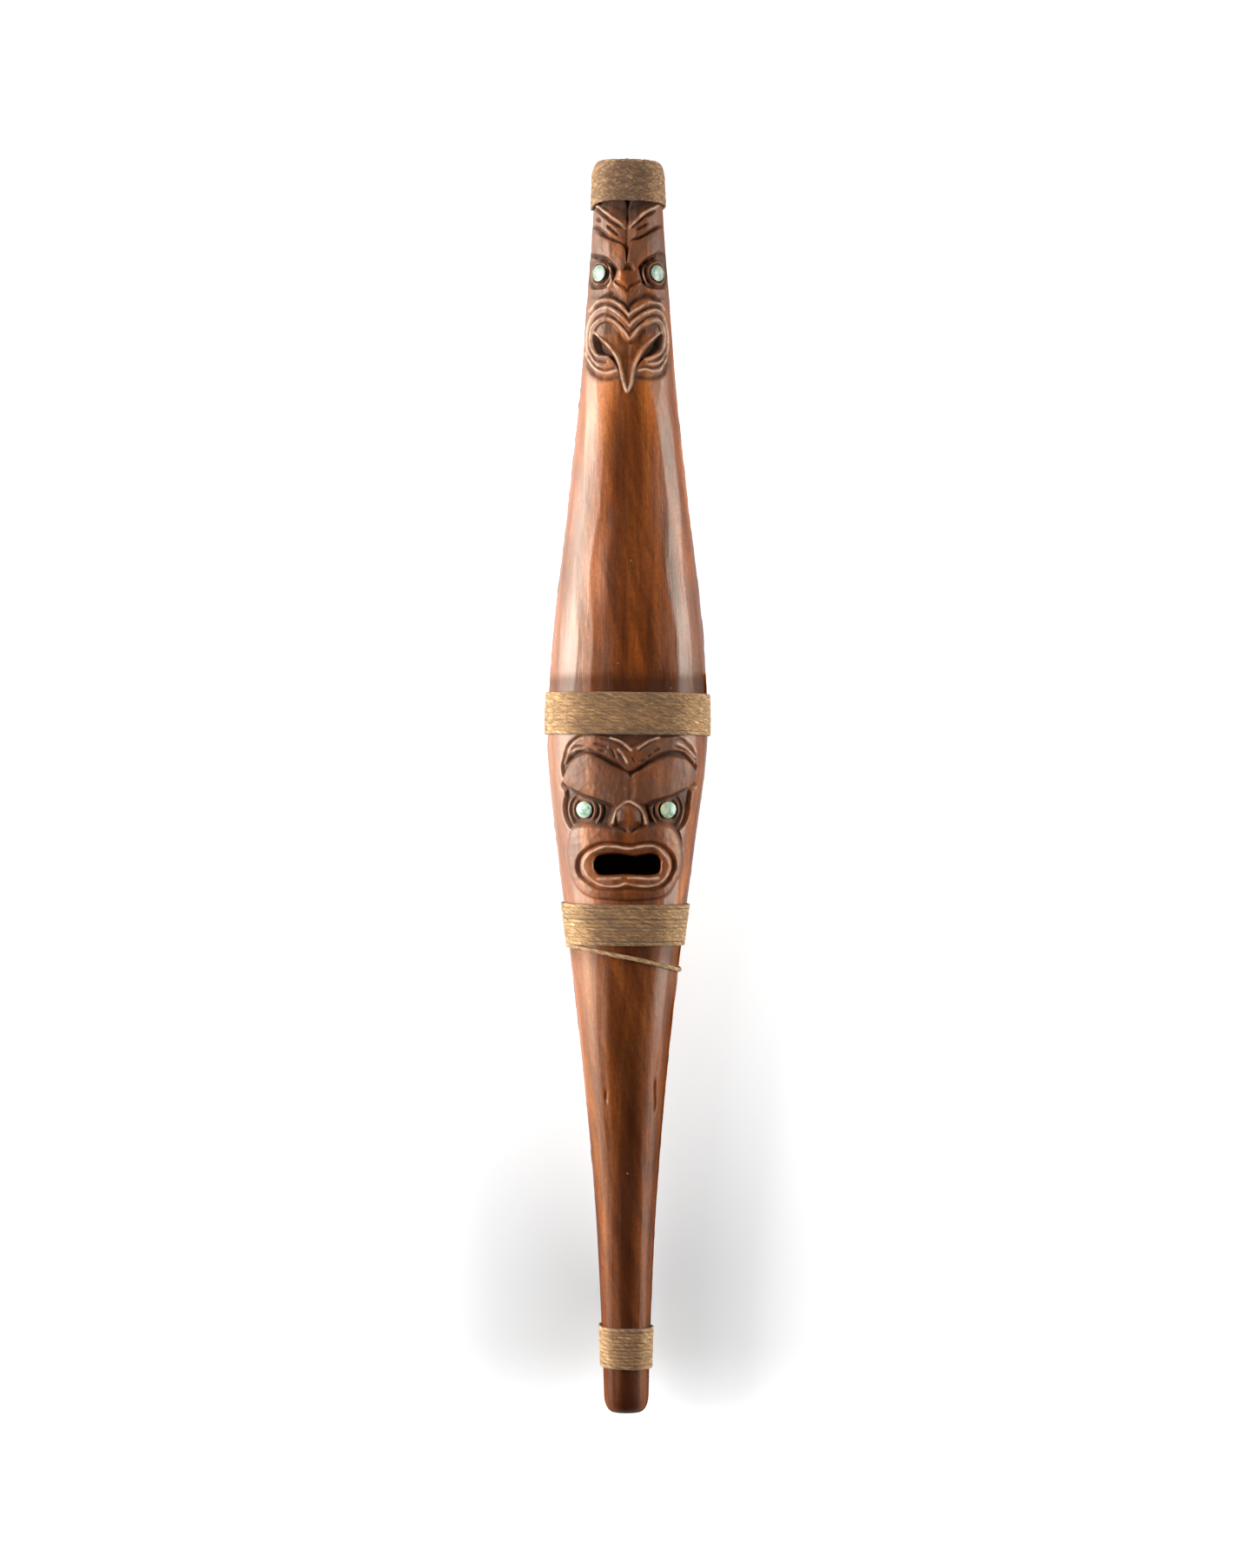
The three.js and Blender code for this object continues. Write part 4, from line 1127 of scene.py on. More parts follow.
# Pieces of the front half, which meet under two whippings: stretches of rows as start, end and
# step, and the columns. The carved stretches are the dense ones.
FRONT_PIECES = {
    "front_half_head": ([(26, 139, 4), (139, 214, 0.2), (214, LIP_ROW, 2.5)], 196),
    "front_half_face": ([(-50, -44, 1.5), (-44, 20, 0.24), (20, 26, 1.5)], 250),
    "front_half_foot": ([(FOOT_ROW, -126, 4), (-126, -104, 0.8), (-104, -50, 4)], 130),
}
CROWN_SPACING = 0.8
BACK_STEP = 2.2
BACK_COLUMNS = 110
# The carving fades near the seams, by angle, and the tool marks near the ends
SEAM_FADE = (0.12, 0.5)
END_FADE = (1, 12)
# Recesses get painted shade by how far they lie below what is round them, broadly and closely, and
# by how far below the skin; the handled places and the mouth lose up to LIT_SHARE of it
SHADE_REACH = 0.8
BROAD_SHADE = 0.45
CLOSE_SHADE = 0.8
DEPTH_SHADE = 0.22
LIT_SHARE = 0.65
PLANED_SMOOTHING = 0.85


def body_marks(angles, ys, seed):
    """The tool marks of one half, which fade at the body's ends."""
    ends = smoothstep(LENGTH / 2 - np.abs(ys), *END_FADE)[:, None]
    return tool_marks(angles, ys[:, None], seed) * ends


def recess_shade(carved, cell, light):
    """How dark the painted shade in the carving's recesses is, on a grid of one cell size."""
    passes = int(2 * (SHADE_REACH / cell) ** 2)
    broad = BROAD_SHADE * (blurred(carved, passes) - carved)
    painted_shade = broad + CLOSE_SHADE * (blurred(carved, passes // 4) - carved)
    painted_shade = (painted_shade + DEPTH_SHADE * np.maximum(-carved, 0)) * (1 - LIT_SHARE * light)
    return np.clip(painted_shade, 0, 1)


def front_piece(name, stretches, columns):
    """One piece of the front half, with its share of the carving."""
    ys = eased_ends(graded(stretches))
    angles = denser_middle(columns, CROWN_SPACING)
    points = skin(angles, ys[:, None])
    carved, worn_highlight, patina, light = carved_heights(points)
    carved = blurred(carved, 1)
    from_seam = smoothstep(np.minimum(angles, math.pi - angles), *SEAM_FADE)
    heights = carved * from_seam + body_marks(angles, ys, 5)
    # Painted shade in the recesses of the carving
    painted_shade = recess_shade(carved, min(step for _, _, step in stretches), light)
    tones = {"painted_shade": painted_shade, "worn_highlight": worn_highlight, "patina": patina}
    piece = half_shell(name, 1, ys, angles, heights, tones, open_hole=name.endswith("face"))
    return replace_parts(piece, "front_half")


def back_half():
    """The plain half, whose planed back keeps only the faint scallops of the plane."""
    ys = eased_ends(graded([(FOOT_ROW, LIP_ROW, BACK_STEP)]))
    angles = np.linspace(math.pi, 2 * math.pi, BACK_COLUMNS)
    depth = -skin(angles, ys[:, None])[..., 2]
    planed = smoothstep(depth, BACK_FLAT_DEPTH - 1, BACK_FLAT_DEPTH)
    marks = body_marks(angles, ys, 31) * (1 - PLANED_SMOOTHING * planed)
    piece = half_shell("back_half_worked", -1, ys, angles, marks, {})
    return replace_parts(piece, "back_half")


GUM_STEP = 1.2
GUM_SUNK = 0.12
GUM_RAGGED = 0.1
GUM_BEAD = 0.1
GUM_UNEVEN = 0.08


def gum_strip(name, side):
    """Dried gum in a seam, a little sunk and uneven along its length."""
    ys = eased_ends(graded([(FOOT_ROW, LIP_ROW, GUM_STEP)]))
    half, _, _, middle = section(ys)
    inner = np.abs(cavity(np.array(0.0), ys)[:, 0] - middle)
    edge = half - GUM_SUNK + GUM_RAGGED * lattice_noise(ys / 2.5, 0 * ys + 2, 40 + side)
    swell = GUM_BEAD + GUM_UNEVEN * lattice_noise(ys / 4, 0 * ys + 9, 50 + side)
    rim = GUM_THICKNESS / 2
    profile = [(edge, -rim), (edge + swell, -rim / 2), (edge + swell, rim / 2), (edge, rim),
               (inner, rim), (inner, -rim)]
    rings = np.stack([
        np.stack([middle + side * reach, ys, 0 * ys + z], -1) for reach, z in profile
    ], 1)
    faces, caps = tube_quads(len(ys), len(profile))
    piece = make_piece(name + "_bead", rings.reshape(-1, 3), faces, caps, {})
    tidy_mesh(piece)
    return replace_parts(piece, name)


# The shell eyes

EYE_SIDES = 56
EYE_DOME = 0.5
EYE_BEVEL = 0.08
DOME_ROWS = 9
HEAD_TARNISH = 0.42


def shell_eye(eye, seed):
    """A domed disc of shell, ground by hand and so not quite round."""
    low, high = eye.heights.min(), eye.heights.max()
    rim = high - EYE_DOME
    dome_shares = np.sin(np.linspace(0.06, 0.5, DOME_ROWS) * math.pi)[::-1]
    profile = [(0.96, low), (1, low + EYE_BEVEL), (1, rim - EYE_BEVEL), (0.985, rim)]
    profile += [(share * 0.97, rim + EYE_DOME * (1 - share ** 2)) for share in dome_shares[1:]]
    turn = np.arange(EYE_SIDES) / EYE_SIDES * 2 * math.pi
    uneven = 1 - 0.012 * (1 + np.cos(2 * turn + seed)) - 0.01 * (1 + np.cos(3 * turn + 2 * seed))
    outward = np.cos(turn)[:, None] * eye.axes[0] + np.sin(turn)[:, None] * eye.axes[1]
    outward *= (eye.radius * uneven)[:, None]
    rings = [eye.middle + reach * outward + height * eye.axes[2] for reach, height in profile]
    faces, caps = tube_quads(len(profile), EYE_SIDES)
    points = np.concatenate(rings)
    tarnish = np.full(len(points), HEAD_TARNISH if "head" in eye.node else 0)
    piece = make_piece(eye.node + "_shell", points, faces, caps, {"tarnish": tarnish})
    tidy_mesh(piece)
    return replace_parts(piece, eye.node)


# The twine

TWINE_THICK = 1.2
TWINE_WIDE = 1.7
TWINE_PITCH = 1.35
TWINE_SIDES = 12
TWINE_LAY = 18  # length of one full twist of its two strands
TWINE_STEP = 0.5
TURN_POINTS = 400
PLY_DEPTH = 0.1
# How square the twine's section is pressed, 1 being round, and how square where it is matted
PRESSED = 0.75
MATTED = 0.42
# The slack turn: how far it hangs, how narrow its loop is, and how many turns are past the rest
TAIL_DROP = 8.5
TAIL_POWER = 2.6
TAIL_TURNS = 1.2
# How far the turns stray along the wood, and how loosely they lie on it
WANDER = 0.09
LOOSENESS = 0.05
TWINE_GAP = 0.03
# How far round from the left edge the last turns sag, as an angle, and how many of them do
SAG_SPREAD = 0.5
SAG_TURNS = 3
# The middle of a turn that is pressed on the table is this share of its thickness above it
REST_SHARE = 0.46
THICKNESS_UNEVEN = 0.07
TWIST_UNEVEN = 0.6
# Where along the tail it hangs free, and how much of the crown's painted shade it loses there
HANGING = (0.9, 0.93)
HANGING_SHADE = 0.7
WHIPPINGS = {
    "whipping_blowing_end": {"turns": 11, "droop": 2.4, "felt": 0.16, "slant": 0.12,
                             "pressed": MATTED},
    "whipping_upper": {"turns": 12, "felt": 0.06, "slant": 0.15, "pitch": 1.25},
    "whipping_lower": {"turns": 11, "tail": True, "felt": 0.06, "slant": 0.45},
    "whipping_foot": {"turns": 11, "felt": 0.09, "slant": 0.15},
}


def twine_path(name, turns, tail, droop, slant, pitch, seed):
    """The line of the twine's middle, from the top down, and its outward directions."""
    top = node_box(name)[1][1]
    last = turns + (TAIL_TURNS if tail else 0)
    turn = np.linspace(0, last, int(last * TURN_POINTS))
    angle = -math.pi / 2 - 2 * math.pi * turn
    past = np.clip(turn - turns - 1 / 4, 0, 1)
    drop = TAIL_DROP * np.sin(math.pi * past) ** TAIL_POWER if tail else 0
    row = np.floor(turn + 1 / 4)
    around = np.mod(turn + 1 / 4, 1)
    within = smoothstep(turn, 0.6, 2) * smoothstep(turns - turn, 0.4, 1.6)
    wander = WANDER * lattice_noise(turn * 5, 0 * turn + seed, seed)
    wander += within * slant * lattice_noise(around * 5 + 0.5, row * 0.35, seed + 5)
    loose = LOOSENESS * lattice_noise(turn * 7, 0 * turn + seed, seed + 9)
    left = np.exp(-((np.mod(angle, 2 * math.pi) - math.pi) / SAG_SPREAD) ** 2)
    sag = droop * left * smoothstep(turn, turns - SAG_TURNS, turns)
    y = top - TWINE_WIDE / 2 - pitch * turn - drop - sag + wander
    normal = skin_normal(angle, y, 2.0)
    over = TWINE_THICK / 2 + TWINE_GAP + np.abs(loose)
    middle = skin(angle, y) + normal * over[:, None]
    middle[:, 2] = np.maximum(middle[:, 2], REST_SHARE * TWINE_THICK - PARTING_HEIGHT)
    return middle, normal


def resampled(line, others, step):
    """A line, and what goes with its points, at even steps of length."""
    lengths = np.linalg.norm(np.diff(line, axis=0), axis=1)
    along = np.concatenate([[0], np.cumsum(lengths)])
    places = np.linspace(0, along[-1], int(along[-1] / step))
    pick = lambda rows: np.stack([np.interp(places, along, column) for column in rows.T], -1)
    return pick(line), pick(others), places


def twine(name, turns, tail=False, droop=0, felt=0.05, slant=0.1, pressed=PRESSED,
          pitch=TWINE_PITCH, seed=1):
    """One whipping: a single length of two-strand twine wound round the wood."""
    line, normal = twine_path(name, turns, tail, droop, slant, pitch, seed)
    line, normal, along = resampled(line, normal, TWINE_STEP)
    tangent = unit(np.gradient(line, axis=0))
    side = unit(np.cross(tangent, normal))
    outward = unit(np.cross(side, tangent))
    # The first side faces the wood, so that the texture's seam is out of sight
    turn = math.pi + np.arange(TWINE_SIDES) / TWINE_SIDES * 2 * math.pi
    twist = 2 * math.pi * along / TWINE_LAY
    twist += TWIST_UNEVEN * lattice_noise(along / 17, 0 * along, seed + 3)
    crease = 0.5 - 0.5 * np.cos(2 * (turn - twist[:, None]))
    thick = 1 + THICKNESS_UNEVEN * lattice_noise(along / 9, 0 * along + 4, seed + 4)
    fuzz = felt * lattice_noise(along[:, None] / 1.1, turn * 1.3, seed + 6)
    ends = np.sqrt(np.clip(np.minimum(along, along[-1] - along) / TWINE_THICK * 2, 0.05, 1))
    swell = (1 - PLY_DEPTH * crease) * (thick * ends)[:, None] + fuzz
    up = TWINE_THICK / 2 * swell * powered(np.cos(turn), pressed)
    across = TWINE_WIDE / 2 * swell * powered(np.sin(turn), pressed)
    rings = line[:, None] + outward[:, None] * up[..., None] + side[:, None] * across[..., None]
    rings[..., 2] = np.maximum(rings[..., 2], -PARTING_HEIGHT)
    faces, caps = tube_quads(len(line), TWINE_SIDES)
    # 1 on the side toward the wood, which gets painted shade in the gaps between turns
    low = 0.5 - 0.5 * np.cos(turn) + 0 * crease
    hanging = HANGING_SHADE * smoothstep(along / along[-1], *HANGING) if tail else 0
    # Painted shade on the upward-facing crown of each turn, less on the hanging tail
    rubbed_and_crown_shade = (smoothstep(normal[:, 2], 0.75, 1) * (1 - hanging))[:, None] + 0 * crease
    piece = make_piece(name + "_twine", rings.reshape(-1, 3), faces, caps,
                       {"crease": crease.ravel(), "low": low.ravel(), "rubbed_and_crown_shade": rubbed_and_crown_shade.ravel()})
    strand_layer(piece, along, twist / (2 * math.pi))
    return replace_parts(piece, name)


def strand_layer(piece, along, twists):
    """Texture places on a twine: millimetres along it, and turns round it that follow its ply."""
    layer = piece.data.uv_layers.new(name="strand")
    i = np.repeat(np.arange(len(along) - 1), TWINE_SIDES)
    k = np.tile(np.arange(TWINE_SIDES), len(along) - 1) / TWINE_SIDES
    corners = []
    for row, step in ((i, 0), (i + 1, 0), (i + 1, 1), (i, 1)):
        corners += [along[row], k + step / TWINE_SIDES - twists[row]]
    places = np.zeros(len(layer.data) * 2, np.float32)
    flat = np.stack(corners, -1).ravel()
    places[:flat.size] = flat
    layer.data.foreach_set("uv", places)


# Materials

def srgb(red, green, blue):
    """A colour of 0 to 255 as Blender's linear colour."""
    linear = [
        v / 12.92 if v <= 0.04045 else ((v + 0.055) / 1.055) ** 2.4
        for v in (red / 255, green / 255, blue / 255)
    ]
    return (*linear, 1)


class Nodes:
    """A node tree, and short ways to add nodes to it."""

    def __init__(self, tree):
        self.tree = tree

    def put(self, socket, value):
        if isinstance(value, bpy.types.NodeSocket):
            self.tree.links.new(value, socket)
        else:
            socket.default_value = value

    def node(self, kind, inputs=None, **properties):
        """A new node. Its inputs are numbers, colours or other nodes' outputs."""
        node = self.tree.nodes.new(kind)
        for key, value in properties.items():
            setattr(node, key, value)
        for key, value in (inputs or {}).items():
            self.put(node.inputs[key], value)
        return node

    def span(self, value, low, high, to_low=0, to_high=1, **properties):
        """A value's range brought to another one, and kept in it."""
        inputs = {"Value": value, "From Min": low, "From Max": high,
                  "To Min": to_low, "To Max": to_high}
        return self.node("ShaderNodeMapRange", inputs, **properties).outputs["Result"]

    def maths(self, operation, first, second):
        inputs = {0: first, 1: second}
        return self.node("ShaderNodeMath", inputs, operation=operation).outputs["Value"]


class Shader(Nodes):
    """A material with one Principled shader, and short ways to add nodes before it."""

    def __init__(self, name):
        self.material = bpy.data.materials.new(name)
        self.material.use_nodes = True
        super().__init__(self.material.node_tree)
        self.main = self.tree.nodes["Principled BSDF"]

    def set(self, **values):
        """Sets sockets of the shader, named with underscores for their spaces."""
        for key, value in values.items():
            self.put(self.main.inputs[key.replace("_", " ")], value)

    def place(self, scale, source="Object", turn=0):
        """Coordinates in metres, or the twine's own, turned and then scaled along each axis."""
        if source == "Object":
            out = self.node("ShaderNodeTexCoord").outputs["Object"]
        else:
            out = self.node("ShaderNodeUVMap", uv_map=source).outputs["UV"]
        inputs = {"Vector": out, "Scale": [1 / value for value in scale],
                  "Rotation": (0, 0, turn)}
        return self.node("ShaderNodeMapping", inputs, vector_type="TEXTURE").outputs["Vector"]

    def noise(self, scale, detail=3, roughness=0.55, distortion=0, source="Object", turn=0):
        inputs = {"Vector": self.place(scale, source, turn), "Scale": 1, "Detail": detail,
                  "Roughness": roughness, "Distortion": distortion}
        return self.node("ShaderNodeTexNoise", inputs).outputs["Fac"]

    def attribute(self, name):
        return self.node("ShaderNodeAttribute", attribute_name=name).outputs["Fac"]

    def ramp(self, value, stops):
        node = self.node("ShaderNodeValToRGB", {"Fac": value})
        elements = node.color_ramp.elements
        while len(elements) < len(stops):
            elements.new(0.5)
        for element, (position, colour) in zip(elements, stops):
            element.position = position
            element.color = colour
        return node.outputs["Color"]

    def mix(self, share, first, second, blend="MIX"):
        """Two colours mixed. The second one's share is a number or a socket."""
        node = self.node("ShaderNodeMix", data_type="RGBA", blend_type=blend)
        self.put(node.inputs["Factor"], share)
        colours = [socket for socket in node.inputs if socket.type == "RGBA"]
        self.put(colours[0], first)
        self.put(colours[1], second)
        return [socket for socket in node.outputs if socket.type == "RGBA"][0]

    def mottled(self, colour, noise, low, high, share=1.0):
        """A colour shaded by a noise. low and high are pairs of the noise's value and a grey."""
        shades = [(place, (shade, shade, shade, 1)) for place, shade in (low, high)]
        return self.mix(share, colour, self.ramp(noise, shades), "MULTIPLY")

    def spotted(self, colour, noise, low, high, share, spot):
        """A colour with spots where a noise is high: none at low, and their share at high."""
        return self.mix(self.span(noise, low, high, 0, share), colour, spot)

    def bump(self, height, distance, strength, before=None):
        inputs = {"Height": height, "Distance": distance, "Strength": strength}
        if before is not None:
            inputs["Normal"] = before
        return self.node("ShaderNodeBump", inputs).outputs["Normal"]


# The wood's colours
STREAKS = [
    (0.3, srgb(94, 42, 9)), (0.44, srgb(130, 63, 16)), (0.57, srgb(162, 84, 28)),
    (0.72, srgb(200, 120, 54)),
]
PORE = srgb(52, 22, 9)
PAINTED_HIGHLIGHT = srgb(216, 170, 144)
STAIN_AND_SHADE = srgb(46, 17, 4)
CHIPPED = srgb(214, 190, 160)
PATINA_FILM = srgb(88, 54, 36)
PAINTED_SHADE = srgb(38, 18, 9)
WORN_HIGHLIGHT = srgb(220, 178, 148)
FLECK = srgb(166, 88, 34)
CAVITY = srgb(58, 32, 18)
OIL_TINT = (1, 0.95, 0.82, 1)
# The least and most of the darkening by stain and painted shade, over which the wood loses its gloss
STAIN_AND_SHADE_SPAN = (0, 0.46)
STAIN_AND_SHADE_LIMIT = 0.85
# The most of the painted highlight on the left side, which faces the strongest lamp
PAINTED_HIGHLIGHT_MOST = 0.15
# How far the surface turns away, from where an edge starts to where it is full
EDGE_SPAN = (0.25, 0.7)


def wood_colour(shader, patina, painted_shade_share, fibres):
    """Streaked orange-brown wood under a patina that is darkest in the carving, with painted shade
    in the recesses, along the crown and below the top whipping, and painted highlights on the left
    side and on the ridges.
    """
    streaks = shader.noise((110, 5, 110), detail=4, distortion=0.5)
    broad = shader.noise((18, 6, 18), detail=2)
    figure = shader.noise((190, 24, 190), detail=4, roughness=0.6, distortion=0.6, turn=0.3)
    pores = shader.noise((2300, 160, 2300), detail=2, roughness=0.5)
    scuffs = shader.noise((900, 700, 900), detail=5, roughness=0.75)
    chips = shader.noise((420, 300, 420), detail=1)
    film = shader.noise((170, 120, 170), detail=4, roughness=0.6)
    rubbed = shader.noise((260, 260, 260))
    flecks = shader.noise((420, 420, 420), roughness=0.6)
    fibre_share = shader.span(patina, 0, 1, 0.4, 0.2)
    film_share = shader.maths("MULTIPLY", patina, shader.span(film, 0.36, 0.62, 0.25, 0.8))
    worn_highlight_share = shader.maths("MULTIPLY", shader.attribute("worn_highlight"),
                              shader.span(rubbed, 0.35, 0.6, 0.2, 0.75))
    fleck_share = shader.maths("MULTIPLY", patina, shader.span(flecks, 0.66, 0.74, 0, 0.45))
    colour = shader.mottled(shader.ramp(streaks, STREAKS), broad, (0.3, 0.58), (0.7, 1.08))
    colour = shader.mottled(colour, figure, (0.38, 0.62), (0.62, 1.3), 0.8)
    colour = shader.mottled(colour, fibres, (0.3, 0.55), (0.65, 1.3), fibre_share)
    colour = shader.spotted(colour, pores, 0.66, 0.74, 0.45, PORE)
    colour = shader.mottled(colour, scuffs, (0.38, 0.6), (0.62, 1.3), 0.5)
    # Painted highlight on the left side, which faces the strongest lamp
    colour = shader.mix(shader.attribute("painted_highlight"), colour, PAINTED_HIGHLIGHT)
    # Darker by place: painted shade along the crown, a painted shadow below the top whipping, and
    # darker towards the foot and beside the whippings
    colour = shader.mix(shader.attribute("stain_and_shade"), colour, STAIN_AND_SHADE)
    colour = shader.spotted(colour, chips, 0.8, 0.83, 0.7, CHIPPED)
    colour = shader.mix(film_share, colour, PATINA_FILM)
    # Painted shade in the recesses
    colour = shader.mix(painted_shade_share, colour, PAINTED_SHADE)
    # Ridges paler by wear and by a painted highlight where they would catch light
    colour = shader.mix(worn_highlight_share, colour, WORN_HIGHLIGHT)
    return shader.mix(fleck_share, colour, FLECK)


def wood_roughness(shader, patina, painted_shade_share, hollow):
    """Duller where there is patina, in the recesses and in the cavity."""
    polish = shader.noise((75, 22, 75), detail=5, roughness=0.7)
    rough = shader.span(polish, 0.3, 0.7, 0.3, 0.5)
    rough = shader.maths("ADD", rough, shader.maths("MULTIPLY", painted_shade_share, 0.3))
    rough = shader.maths("ADD", rough, shader.span(patina, 0, 1, 0, 0.18))
    return shader.maths("ADD", rough, shader.maths("MULTIPLY", hollow, 0.35))


def wood_gloss(shader):
    """Less gloss where the surface turns away, or its rims would mirror the white floor."""
    edge = shader.node("ShaderNodeLayerWeight").outputs["Facing"]
    gloss = shader.span(edge, *EDGE_SPAN, 0.75, 0.4)
    pale_edge = shader.span(shader.attribute("painted_highlight"), 0, PAINTED_HIGHLIGHT_MOST, 0, 0.35)
    pale_edge = shader.maths("MULTIPLY", pale_edge, shader.span(edge, *EDGE_SPAN))
    dull = shader.span(shader.attribute("stain_and_shade"), *STAIN_AND_SHADE_SPAN, 0, 0.42)
    return shader.maths("SUBTRACT", shader.maths("ADD", gloss, pale_edge), dull)


def wood_surface(shader, patina, fibres):
    """Fine fibres, longer waves, and small chips where there is patina."""
    chips = shader.noise((700, 500, 700), detail=4, roughness=0.6)
    normal = shader.bump(fibres, 0.00012, shader.span(patina, 0, 1, 0.6, 0.25))
    normal = shader.bump(shader.noise((160, 30, 160)), 0.0006, 0.35, normal)
    return shader.bump(chips, 0.00022, shader.span(patina, 0, 1, 0.15, 0.8), normal)


def wood_material():
    """Oiled red-brown wood: streaked grain, painted shade in the recesses and along the crown,
    rubbed ridges with a painted highlight, a painted highlight on the left side, darker to the foot.
    """
    shader = Shader("oiled_wood")
    fibres = shader.noise((1500, 34, 1500), detail=4, roughness=0.7)
    shade_breakup = shader.noise((420, 420, 420))
    patina, hollow = shader.attribute("patina"), shader.attribute("hollow")
    # Painted shade in the recesses, broken up by a noise so that it is uneven
    painted_shade = shader.span(shader.attribute("painted_shade"), 0.02, 0.6, 0, 0.9)
    painted_shade_share = shader.maths("MULTIPLY", painted_shade, shader.span(shade_breakup, 0.3, 0.6, 0.7, 1))
    colour = wood_colour(shader, patina, painted_shade_share, fibres)
    shader.set(
        Base_Color=shader.mix(hollow, colour, CAVITY),
        Roughness=wood_roughness(shader, patina, painted_shade_share, hollow),
        Specular_Tint=OIL_TINT,
        Specular_IOR_Level=wood_gloss(shader),
        Normal=wood_surface(shader, patina, fibres),
    )
    return shader.material


GUM_LUMPS = [(0.3, srgb(26, 15, 9)), (0.7, srgb(62, 38, 22))]


def gum_material():
    """Dark brittle gum, dull with a few glossy spots."""
    shader = Shader("dark_gum")
    lumps = shader.noise((900, 900, 900), detail=4)
    shader.set(
        Base_Color=shader.ramp(lumps, GUM_LUMPS),
        Roughness=shader.span(lumps, 0.3, 0.7, 0.35, 0.7),
        Normal=shader.bump(lumps, 0.0002, 0.7),
    )
    return shader.material


PEARL_CLOUDS = [
    (0.3, srgb(196, 207, 182)), (0.42, srgb(120, 164, 135)), (0.5, srgb(190, 203, 180)),
    (0.58, srgb(106, 154, 134)), (0.68, srgb(200, 203, 168)), (0.8, srgb(136, 183, 138)),
]
PEARL_VEIN = srgb(112, 150, 132)
TARNISH = srgb(92, 106, 94)


def shell_material():
    """Pearly shell: clouds of pale cream, green and blue with darker veins."""
    shader = Shader("pearl_shell")
    clouds = shader.noise((230, 180, 230), detail=2, roughness=0.5, distortion=0.8)
    veins = shader.noise((1500, 1000, 1500), roughness=0.6, distortion=1)
    colour = shader.ramp(clouds, PEARL_CLOUDS)
    colour = shader.spotted(colour, veins, 0.6, 0.75, 0.25, PEARL_VEIN)
    shader.set(
        Base_Color=shader.mix(shader.attribute("tarnish"), colour, TARNISH),
        Roughness=shader.span(veins, 0.3, 0.7, 0.18, 0.4),
        Coat_Weight=0.12,
        Coat_Roughness=0.08,
        Normal=shader.bump(clouds, 0.0003, 0.5),
    )
    return shader.material


FIBRES = [
    (0.32, srgb(104, 71, 40)), (0.45, srgb(161, 120, 75)), (0.56, srgb(200, 158, 106)),
    (0.7, srgb(252, 226, 172)),
]
PLY_SHADE = srgb(104, 74, 42)
DIRT = srgb(84, 56, 30)
GAP_SHADE = srgb(58, 36, 18)
MATTED_TINT = srgb(98, 62, 34)
CROWN_SHADE_TINT = (0.41, 0.33, 0.24, 1)


def twine_hairs(shader, matted):
    """Hairs along the twist, or in patches across the turns where the fibre is matted."""
    if not matted:
        return shader.noise((0.3, 8, 1), detail=4, roughness=0.75, source="strand")
    tufts = shader.noise((620, 1500, 620), detail=4, roughness=0.7, turn=-0.6)
    swirls = shader.noise((500, 1300, 500), detail=4, roughness=0.7, turn=0.5)
    both = [shader.maths("MULTIPLY", hairs, 0.5) for hairs in (tufts, swirls)]
    return shader.span(shader.maths("ADD", *both), 0.38, 0.64, 0.28, 0.7)


def twine_material(name, matted):
    """Dry two-strand plant fibre: tan with paler and browner hairs, with painted shade in the
    strands' creases, in the gaps between turns and on the turns' crown. Matted fibre is browner.
    """
    shader = Shader(name)
    hairs = twine_hairs(shader, matted)
    patches = shader.noise((90, 200, 90))
    dirt = shader.noise((1300, 1300, 1300), detail=4, roughness=0.7)
    gap_shade_span = (0.2, 0.5, 0.55) if matted else (0.1, 0.36, 0.9)
    colour = shader.ramp(hairs, FIBRES)
    colour = shader.spotted(colour, shader.attribute("crease"), 0.6, 1, 0.3, PLY_SHADE)
    colour = shader.mottled(colour, patches, (0.3, 0.75), (0.7, 1.2))
    colour = shader.spotted(colour, dirt, 0.5, 0.7, 0.55, DIRT)
    # Painted shade on the side toward the wood, in the gaps between turns
    colour = shader.spotted(colour, shader.attribute("low"), *gap_shade_span, GAP_SHADE)
    if matted:
        colour = shader.mix(0.38, colour, MATTED_TINT)
    # Painted shade on the crown of the turns
    rubbed_and_crown_shade = shader.span(shader.attribute("rubbed_and_crown_shade"), 0, 1, 0, 0.9)
    normal = shader.bump(hairs, 0.0005 if matted else 0.0003, 0.9)
    shader.set(
        Base_Color=shader.mix(rubbed_and_crown_shade, colour, CROWN_SHADE_TINT, "MULTIPLY"),
        Roughness=shader.span(hairs, 0.3, 0.7, 0.75, 0.95),
        Sheen_Weight=0.2,
        Normal=shader.bump(dirt, 0.0002, 0.7, normal),
    )
    return shader.material


def dressed(piece, material):
    """Gives a piece its material in a slot, and attaches it to the root body."""
    piece.data.materials.append(material)
    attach(piece, "root")


